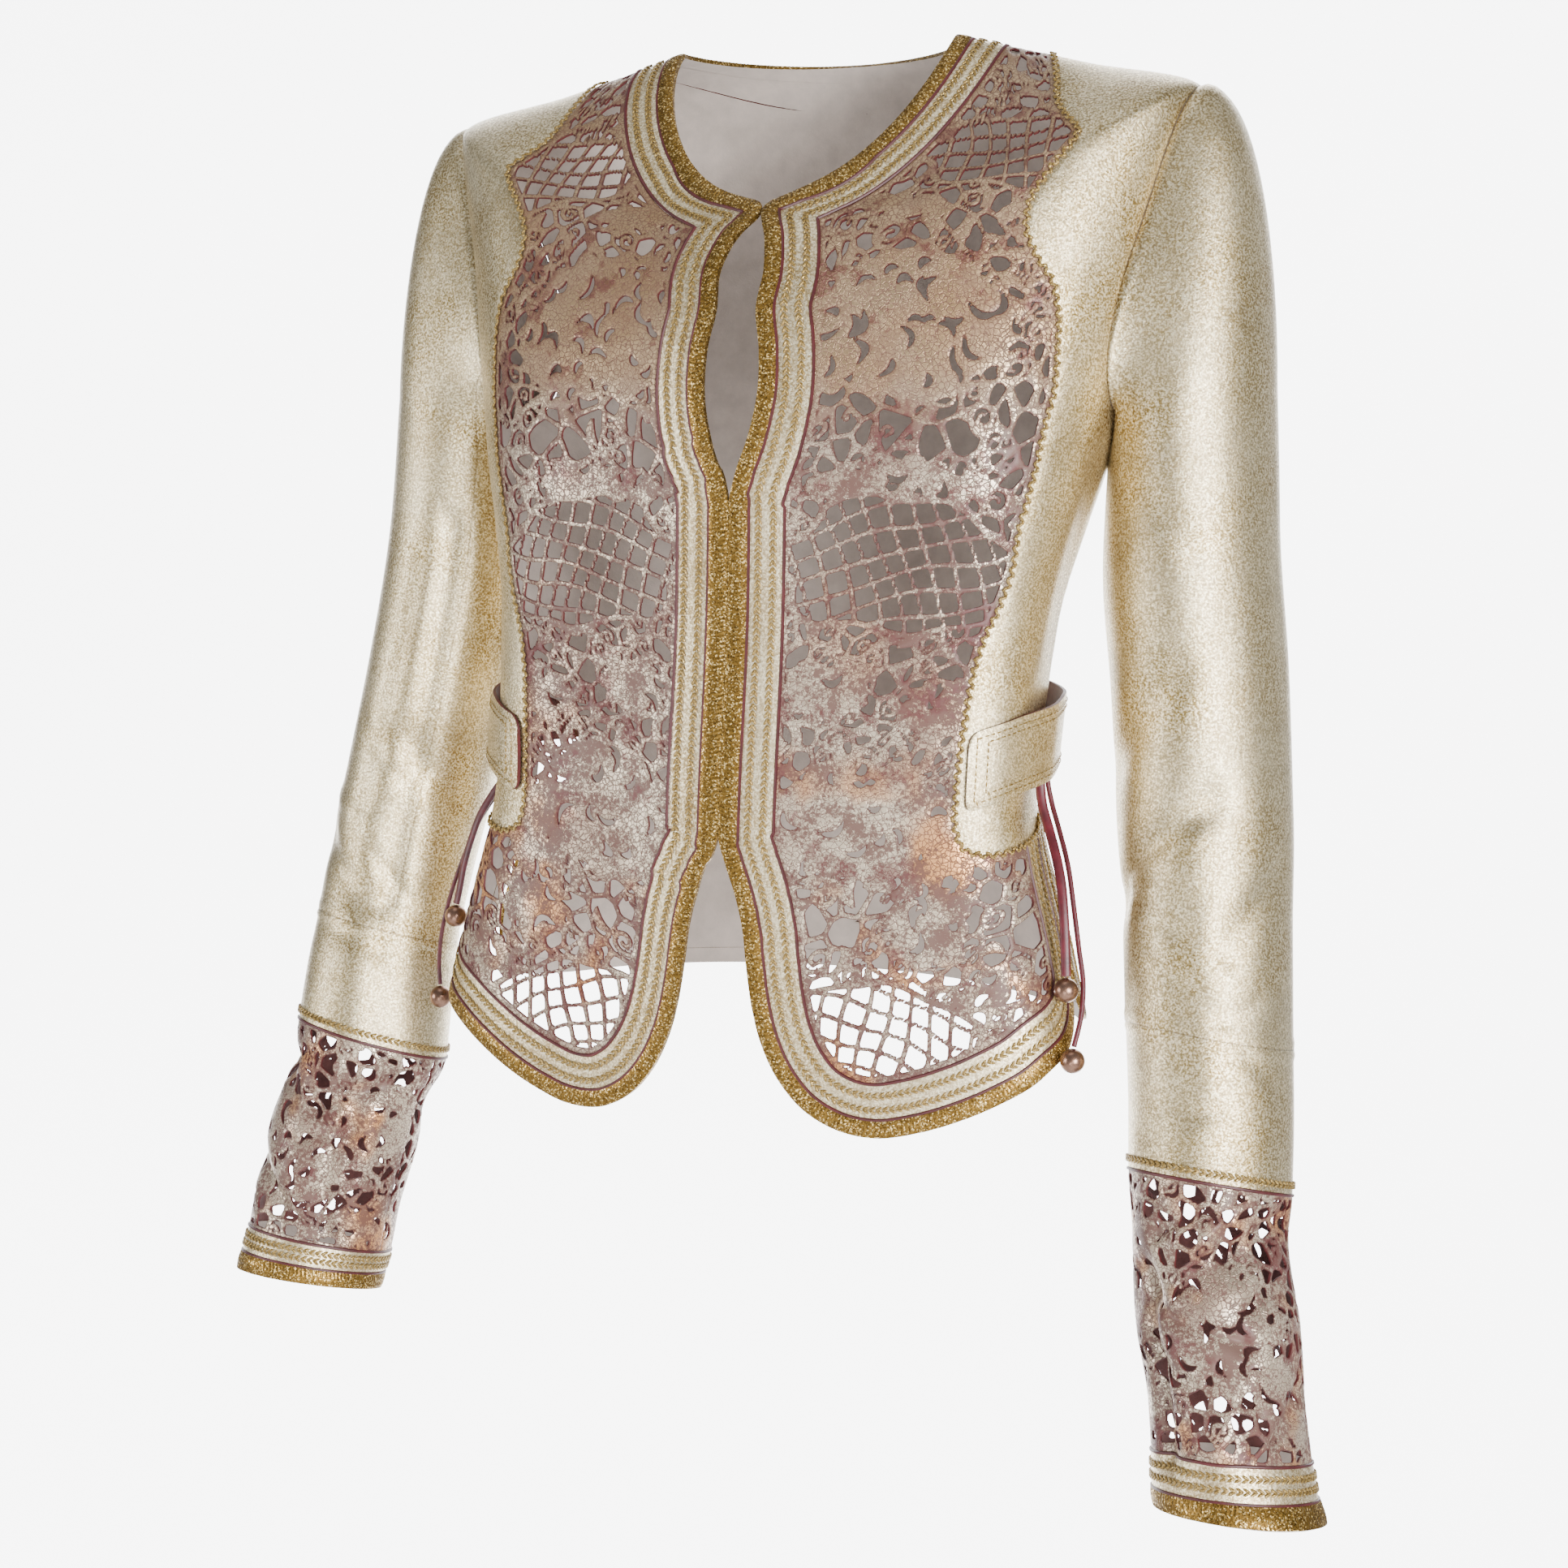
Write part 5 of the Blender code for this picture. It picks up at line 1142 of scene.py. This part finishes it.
# folds: start (degrees, distance down), end, half breadth, depth; a negative depth is a ridge
folds = {
    "L": (
        (160, 215, 70, 165, 9, 2.6), (150, 150, 95, 110, 10, 1.8), (20, 195, 60, 225, 8, 1.8),
        (10, 345, 60, 365, 8, 4.0), (55, 365, 150, 385, 8, 3.2), (135, 375, 128, 450, 7, 4.5),
        (30, 395, 85, 440, 10, -3.0), (200, 350, 290, 400, 9, 3.5), (300, 375, 330, 430, 9, 3.5)),
    "R": (
        (112, 40, 120, 235, 7, 2.4), (40, 215, 100, 240, 9, 2.2), (150, 180, 100, 150, 9, 2.0),
        (-20, 318, 50, 330, 7, 4.0), (150, 322, 95, 345, 7, 4.2), (20, 372, 80, 395, 8, 4.6),
        (-10, 352, 25, 372, 7, -3.0), (125, 345, 135, 400, 7, 3.6), (210, 330, 300, 375, 9, 3.5)),
}
# finer creases that only the visual cloth has
fineFolds = {
    "L": (
        (120, 10, 70, 60, 6, 0.8), (60, 235, 130, 215, 4, 1.0), (75, 255, 120, 240, 4, 0.8),
        (80, 180, 140, 205, 4, -0.8), (40, 250, 70, 262, 4, 0.7), (70, 300, 130, 318, 5, 0.8),
        (20, 290, 50, 275, 4, 0.6), (60, 400, 110, 392, 4, 2.4), (100, 420, 140, 405, 4, 2.2),
        (20, 372, 48, 384, 4, 2.6), (70, 350, 100, 372, 4, -1.8), (10, 420, 40, 440, 4, 2.2),
        (85, 345, 120, 358, 4, 2.4), (118, 388, 150, 372, 4, 2.0), (52, 428, 84, 418, 4, 1.8),
        (95, 300, 90, 215, 9, 1.1)),
    "R": (
        (90, 60, 80, 200, 5, 0.9), (60, 150, 110, 175, 5, 0.9), (30, 190, 90, 200, 4, -0.8),
        (100, 215, 140, 235, 4, 0.9), (60, 255, 120, 262, 5, 0.7), (30, 330, 70, 345, 4, 2.2),
        (90, 362, 130, 352, 4, 2.2), (50, 385, 100, 402, 4, 2.0), (0, 390, 30, 400, 4, 2.0),
        (60, 330, 100, 322, 4, -1.5), (130, 300, 105, 190, 9, 1.1)),
}


def sleeveMap(letter):
    # below the bicep the sleeve is leaning ellipses, above it a cubic from the armhole to the bicep ring
    side = 1 if letter == "L" else -1
    table = np.array(sleeves[letter], float)
    runs = chainage(table[:, [1, 2, 0]])

    def tube(theta, d):
        z, x, y, a, b, lean, nod = (monotone(d, runs, table[:, k]) for k in range(7))
        cosine, sine = np.cos(np.radians(theta)), np.sin(np.radians(theta))
        sink = ridges(theta, d, folds[letter] + fineFolds[letter], wrapped=True)
        return np.stack([x + side * (a - sink) * cosine, y - (b - sink) * sine, z + lean * cosine + nod * sine], -1)

    def toSpace(points):
        theta, d = points[:, 0] % 360, points[:, 1]
        low, first = tube(theta, np.maximum(d, 0)), tube(theta, np.zeros_like(d))
        loop = armholeLoop(theta, armhole["ease"])
        root = place(np.stack([side * loop[:, 0], loop[:, 1]], 1))
        span = np.linalg.norm(first - root, axis=1, keepdims=True)
        cosine = np.cos(np.radians(theta))[:, None]
        leave = span * 0.55 * np.array([side, 0, 0.1]) * np.ones_like(cosine)
        leave[:, 2:] += 4 * cosine
        arrive = span * (1.05 + 0.15 * cosine) * np.array([0.02 * side, -0.03, -1.0])
        u = np.clip(1 + d / capDepth, 0, 1)[:, None]
        return np.where(d[:, None] < 0, hermite(u, root, first, leave, arrive), low)
    return toSpace, dict(zip(sleeveRings, runs))


def buildSleeve(letter):
    side = 1 if letter == "L" else -1
    toSpace, runs = sleeveMap(letter)
    fore, hind = (18.0 * k for k in sleeveSeams[letter])
    seam = cloth["seam"]
    for name, node, start, end in (("sleeveTop", "sleeve_top_", hind - 360, fore),
                                   ("sleeveUnder", "sleeve_under_", fore, hind)):
        columns = np.linspace(start, end, int((end - start) / 4) + 1)
        rows = np.concatenate([np.linspace(-capDepth, 0, 22)[:-1], np.linspace(0, runs["elbow"] - seam, 90)])
        wide = len(columns)
        t, d = np.meshgrid(columns, rows)
        flat = np.stack([t.ravel(), d.ravel()], 1)

        def gap(spot, along, normal, wide=wide):
            move = np.zeros_like(spot)
            across = unit(along)
            move[::wide] = -0.1 * across[::wide]
            move[wide - 1::wide] = 0.1 * across[wide - 1::wide]
            return move

        edge = np.minimum(flat[:, 0] - start, end - flat[:, 0]) * 0.65
        fromTop, toElbow = flat[:, 1] + capDepth, runs["elbow"] - flat[:, 1]
        rise = (0.15 + 0.35 * bell(edge - 3, 2.2) + 0.5 * bell(toElbow - 2, 2.5)
                + 0.5 * bell(fromTop - 4, 3.5) - 0.4 * bell(fromTop, 1.2))
        near = np.minimum(edge, np.minimum(fromTop, toElbow))
        piece = skin(name + letter, flat, gridFaces(wide, len(rows)), toSpace, side, foilFaces, cloth["wall"], rise,
                     shift=gap, near=near, slot="foiled_leather", nodes=[node + letter])
        declareCloth(piece, (end - start) * 0.00073, 0.36)

    def ring(name, node, first, last, count, finishes, wall, slot, rise, turnStep=4.0):
        # a closed band; its rise is a function of the angle, the share of its height and the distance down
        t, d = np.meshgrid(np.arange(0, 360, turnStep), np.linspace(first, last, count))
        flat = np.stack([t.ravel(), d.ravel()], 1)
        down = flat[:, 1] - first
        return skin(name + letter, flat, gridFaces(t.shape[1], count, True), toSpace, side, finishes, wall,
                    rise(flat[:, 0], down / (last - first), down),
                    near=np.minimum(down, last - flat[:, 1]), slot=slot, nodes=[node + letter])

    def ringLine(d, lift):
        flat = np.stack([np.linspace(0, 360, 181), np.full(181, d)], 1)
        return onLine(flat, toSpace, side, lift)

    elbow, wrist, laceEnd, bandEnd = (runs[key] for key in ("elbow", "wrist", "laceEnd", "bandEnd"))
    plain = ring("sleeveBand", "sleeve_band_", elbow + seam, wrist - seam, 26, foilFaces, cloth["wall"],
                 "foiled_leather", lambda t, u, d: 0.15 + 0.75 * bell(d - 1.8, 1.6))
    declareCloth(plain, 0.24, (wrist - elbow) * mm * 1.1)
    girth = math.radians(cuffGirth)
    unrolled = lambda points: toSpace(np.stack([points[:, 0] / girth, points[:, 1]], 1))
    for name, node, start, end in (("cuffLaceFront", "cuff_lace_front_", 0, 180),
                                   ("cuffLaceBack", "cuff_lace_back_", 180, 360)):
        def field(flat, spots):
            across = np.minimum(flat[:, 0] - start * girth, end * girth - flat[:, 0])
            down = np.minimum(flat[:, 1] - wrist, laceEnd - flat[:, 1])
            dice.bit_generator.state = np.random.default_rng(5 if start else 3).bit_generator.state
            pattern = cuffLaceField(np.stack([flat[:, 0], flat[:, 1] - wrist], 1))
            shape = np.minimum(across, down) - cloth["seam"]
            return np.minimum(shape, np.maximum(pattern, 2.0 - down))

        laceSheet(name + letter, node + letter, np.arange(start * girth - 1, end * girth + 2, lace["step"]),
                  np.arange(wrist - 1, laceEnd + 2, lace["step"]), field, unrolled, side,
                  0.115, (laceEnd - wrist) * mm * 1.05)
    band = ring("cuffBand", "cuff_band_", laceEnd + seam, bandEnd - seam, 12,
                [looks["band"], looks["suede"], looks["cut"]], cloth["wall"], "trim_leather",
                lambda t, u, d: 0.1 + 0.35 * np.sin(np.pi * u) ** 0.7)
    braid = ring("cuffBraid", "cuff_braid_", bandEnd + seam, runs["hem"], 7,
                 [looks["braid"], looks["suede"], looks["braid"]], 1.6, "glitter_braid",
                 lambda t, u, d: (0.55 + 0.45 * np.sin(np.pi * u) ** 0.7
                                  + 0.5 * ribWave(np.radians(t) * cuffGirth, u)), 1.0)
    third = (bandEnd - laceEnd) / 3
    rows = [stitchRow("row", *ringLine(d, 0.35), looks["thread"])
            for d in (wrist - 4.5, laceEnd + third, laceEnd + 2 * third)]
    pipes = [piping(*ringLine(d, 0.3)) for d in (wrist, laceEnd, bandEnd)]
    declareCloth(band, 0.24, (bandEnd - laceEnd) * mm * 1.1,
                 [braid, joinPieces("cuffPiping" + letter, pipes), joinPieces("cuffStitching" + letter, rows)])


# half belt
belt = {"width": 35.0, "wall": 2.0, "start": 110.0, "round": 5.0, "endStand": 0.8, "stand": 6.5, "backStand": 3.5}


def buildBelt():
    # a strip over the back: its stand off the body rises from the ends and falls again behind, its ends
    # are rounded, and its outer face swells between the edges
    back = halfRun(190.0)[0]
    first, last = belt["start"] + cloth["closure"], 2 * back - belt["start"] + cloth["closure"]
    tip = np.array([0, 0.5, 1.2, 2.2, 3.5])
    run = np.concatenate([first + tip, np.linspace(first, last, 170)[2:-2], last - tip[::-1]])
    fromEnd = np.minimum(run - first, last - run)
    rise = np.clip((fromEnd - 20) / 28, 0, 1)
    rise = rise * rise * (3 - 2 * rise)
    fall = (belt["stand"] - belt["backStand"]) * np.clip((fromEnd - 110) / 90, 0, 1)
    stand = belt["endStand"] + belt["stand"] * rise - fall
    middle = 182 + 14 * np.clip(fromEnd / 60, 0, 1)
    trim = belt["round"] * (1 - np.sqrt(np.clip(1 - (1 - np.clip(fromEnd / belt["round"], 0, 1)) ** 2, 0, 1)))
    v = np.concatenate([[-1, -0.97, -0.9], np.linspace(-0.8, 0.8, 13), [0.9, 0.97, 1]])

    def at(v, lift):
        points = np.stack([run, middle + v * (belt["width"] / 2 - trim) * 1.1], 1)
        spot, along, up, normal = frameAt(points, place)
        return spot + normal * (stand + lift)[:, None], normal

    outer = np.array([at(x, belt["wall"] - 0.5 * abs(x) ** 8)[0] for x in v])
    inner = np.array([at(x, 0.0)[0] for x in v])
    face = gridFaces(len(run), len(v))
    n = len(run) * len(v)
    edge = rims(face, n)
    faces = np.concatenate([face, face[:, ::-1] + n, edge])
    slots = np.repeat([0, 1, 2], [len(face), len(face), len(edge)])
    verts = np.concatenate([outer.reshape(-1, 3), inner.reshape(-1, 3)])
    a, b, c = verts[faces[0]]
    if np.cross(b - a, c - a) @ at(-0.97, 0)[1][0] < 0:
        faces = faces[:, ::-1]
    piece = makePiece("halfBelt", verts, faces, slots, [looks["foil"], looks["laceSuede"], looks["cut"]],
                      near=np.full(len(verts), 9.0), slot="foiled_leather", nodes=["half_belt"])
    rows = []
    for inset in (3.2, 6.0):
        top, normal = at(1 - 2 * inset / belt["width"], belt["wall"])
        low, lowNormal = at(-1 + 2 * inset / belt["width"], belt["wall"])
        keep = fromEnd > inset
        loop = np.concatenate([top[keep], low[keep][::-1], top[keep][:1]])
        normals = np.concatenate([normal[keep], lowNormal[keep][::-1], normal[keep][:1]])
        rows.append(stitchRow("row", loop, normals, looks["thread"], 2.9, (1.2, 0.36, 0.32), 0, 0.05))
    joinPieces("beltStitching", rows)


# laces and beads: half width, half thickness, and the route, which the solids share
laces = {
    "cord_near_L": (2.15, 0.95, (
        (127.2, -46, -318), (126.8, -46.5, -333), (128.5, -48.5, -343), (132.5, -51.5, -353), (137, -56, -363),
        (141, -60.5, -374), (144, -65, -388), (145.6, -67.5, -401), (146.7, -69.4, -414.9))),
    "cord_far_L": (1.15, 1.0, (
        (128.5, -39, -318), (128, -39.5, -333), (130.5, -41, -343), (135, -44.5, -354), (141, -50, -369),
        (145.5, -55, -387), (149.5, -59.5, -405), (152.6, -63, -419), (153.2, -68, -433), (151.8, -73, -444.9))),
    "cord_near_R": (2.15, 0.95, (
        (-139.2, -46, -318), (-139.2, -46.3, -333), (-142.5, -47, -343), (-148.5, -48.2, -352),
        (-154.5, -49.7, -362), (-159, -51, -374), (-162.6, -52.3, -387), (-164.8, -53.2, -399),
        (-166.2, -53.9, -405.9))),
    "cord_far_R": (1.15, 1.0, (
        (-139.4, -39, -318), (-139.4, -39.2, -333), (-143.5, -39.8, -343), (-150.5, -41, -353),
        (-159, -43, -366), (-167.5, -45.5, -386), (-173, -49, -405), (-176, -52, -422), (-175.8, -55, -437),
        (-174.3, -56.8, -445.9))),
}
holeAngle = 0.24    # half opening of a bead's hole, in radians from its axis
beads = {"radius": 5.4, "places": {
    "near_L": (147, -70, -421), "far_L": (151.5, -74, -451), "near_R": (-166.5, -54, -412), "far_R": (-174, -57, -452)}}


def buildLaces():
    for node, (wide, high, route) in laces.items():
        key = node[5:]
        route = np.array(route, float)
        spots = smooth(route, 1.4)
        up = np.tile(unit(np.array([0.35 if "L" in node else -0.35, -1.0, 0.0])), (len(spots), 1))
        tail = key.replace("_", "")
        cord = tubeAlong("lace" + tail, spots, up, wide, high, looks["cord"], 12, "cord_leather", [node])
        # bead: a ball with a dimple at each end of its hole, a profile turned about the lace's last stretch
        axis = unit(spots[-1] - spots[-4])
        side = unit(np.cross(axis, [0.0, 1.0, 0.0]))
        other = np.cross(axis, side)
        t = np.linspace(holeAngle, np.pi - holeAngle, 17)
        dimple = math.cos(holeAngle) * 0.86
        profile = np.concatenate([[(0.2, -dimple)], np.stack([np.sin(t), -np.cos(t)], 1), [(0.2, dimple)]])
        profile = profile * beads["radius"]
        turn = np.arange(24) * 2 * np.pi / 24
        middle = np.array(beads["places"][key], float)
        ring = (middle + profile[:, 1, None, None] * axis
                + profile[:, 0, None, None] * (np.cos(turn)[:, None] * side + np.sin(turn)[:, None] * other))
        n = len(profile)
        verts = np.concatenate([ring.reshape(-1, 3), [middle - axis * profile[-1, 1], middle + axis * profile[-1, 1]]])
        k = np.arange(24)
        q = (k + 1) % 24
        faces = np.concatenate([gridFaces(24, n, True), np.stack([q, k, k * 0 + n * 24], 1),
                                np.stack([k + (n - 1) * 24, q + (n - 1) * 24, k * 0 + n * 24 + 1], 1)])
        p = verts[faces[200]]
        if np.cross(p[1] - p[0], p[2] - p[0]) @ (p.mean(0) - middle) < 0:
            faces = faces[:, ::-1]
        bead = makePiece("bead" + tail, verts, faces, None, [looks["bead"]], slot="bead_metal",
                         nodes=["bead_" + key])
        length = chainage(spots)[-1] * mm


# camera, lights and floor
view = {"place": (0.467, -1.127, -0.20), "turn": 23.2, "down": 6.8, "lens": 59.1}


def buildStudio():
    turn, down = math.radians(view["turn"]), math.radians(view["down"])
    camera = bpy.data.cameras.new("camera")
    camera.lens, camera.sensor_width = view["lens"], 36.0
    eye = bpy.data.objects.new("camera", camera)
    eye.location = view["place"]
    way = Vector((-math.sin(turn) * math.cos(down), math.cos(turn) * math.cos(down), -math.sin(down)))
    eye.rotation_euler = way.to_track_quat("-Z", "Y").to_euler()
    bpy.context.scene.collection.objects.link(eye)
    bpy.context.scene.camera = eye
    for name, spot, size, power in (("key", (1.8, -1.75, -0.1), 0.9, 122), ("fill", (-1.9, -1.5, -0.2), 0.8, 30),
                                    ("low", (0.3, -2.6, -1.1), 1.0, 16), ("top", (-0.3, -0.4, 2.2), 1.2, 9)):
        light = bpy.data.lights.new(name, "AREA")
        light.energy, light.size = power, size
        lamp = bpy.data.objects.new(name, light)
        lamp.location = spot
        lamp.rotation_euler = (Vector((0, 0, -0.3)) - Vector(spot)).to_track_quat("-Z", "Y").to_euler()
        bpy.context.scene.collection.objects.link(lamp)
    world = bpy.data.worlds.new("pale room")
    world.use_nodes = True
    world.node_tree.nodes["Background"].inputs[0].default_value = (0.93, 0.96, 1.0, 1)
    world.node_tree.nodes["Background"].inputs[1].default_value = 0.36
    bpy.context.scene.world = world
    # a floor under the jacket that curves up into a backdrop well behind it, lit where the camera looks
    profile = [(-6.0, -1.6), (1.0, -1.6), (2.2, -1.55), (3.2, -1.25), (3.9, -0.6), (4.2, 0.4), (4.3, 4.5)]
    columns = (-8.0, -4.9, 0.45, 8.0)
    verts = [(x, y, z) for y, z in profile for x in columns]
    floor = bpy.data.meshes.new("floor")
    floor.from_pydata(verts, [], [(4 * k + c, 4 * k + c + 1, 4 * k + c + 5, 4 * k + c + 4)
                                  for k in range(len(profile) - 1) for c in range(3)])
    for name, glow in (("pale floor", 0.0), ("lit backdrop", 6.0)):
        pale = bpy.data.materials.new(name)
        pale.use_nodes = True
        shader = pale.node_tree.nodes["Principled BSDF"]
        shader.inputs["Base Color"].default_value = (0.9, 0.9, 0.9, 1)
        shader.inputs["Roughness"].default_value = 0.9
        shader.inputs["Emission Color"].default_value = (1, 1, 1, 1)
        shader.inputs["Emission Strength"].default_value = glow
        floor.materials.append(pale)
    floor.polygons.foreach_set("material_index", [0, 0, 0] + [0, 1, 0] * (len(profile) - 2))
    floor.shade_smooth()
    ground = bpy.data.objects.new("floor", floor)
    bpy.context.scene.collection.objects.link(ground)


buildStudio()
print("studio ready")
buildLaces()
print("laces ready")
for frontSide, frontLetter in ((1, "L"), (-1, "R")):
    buildFront(frontSide, frontLetter)
print("fronts ready")
buildBack()
print("back ready")
for sleeveLetter in ("L", "R"):
    buildSleeve(sleeveLetter)
buildBelt()
print("sleeves and belt ready")
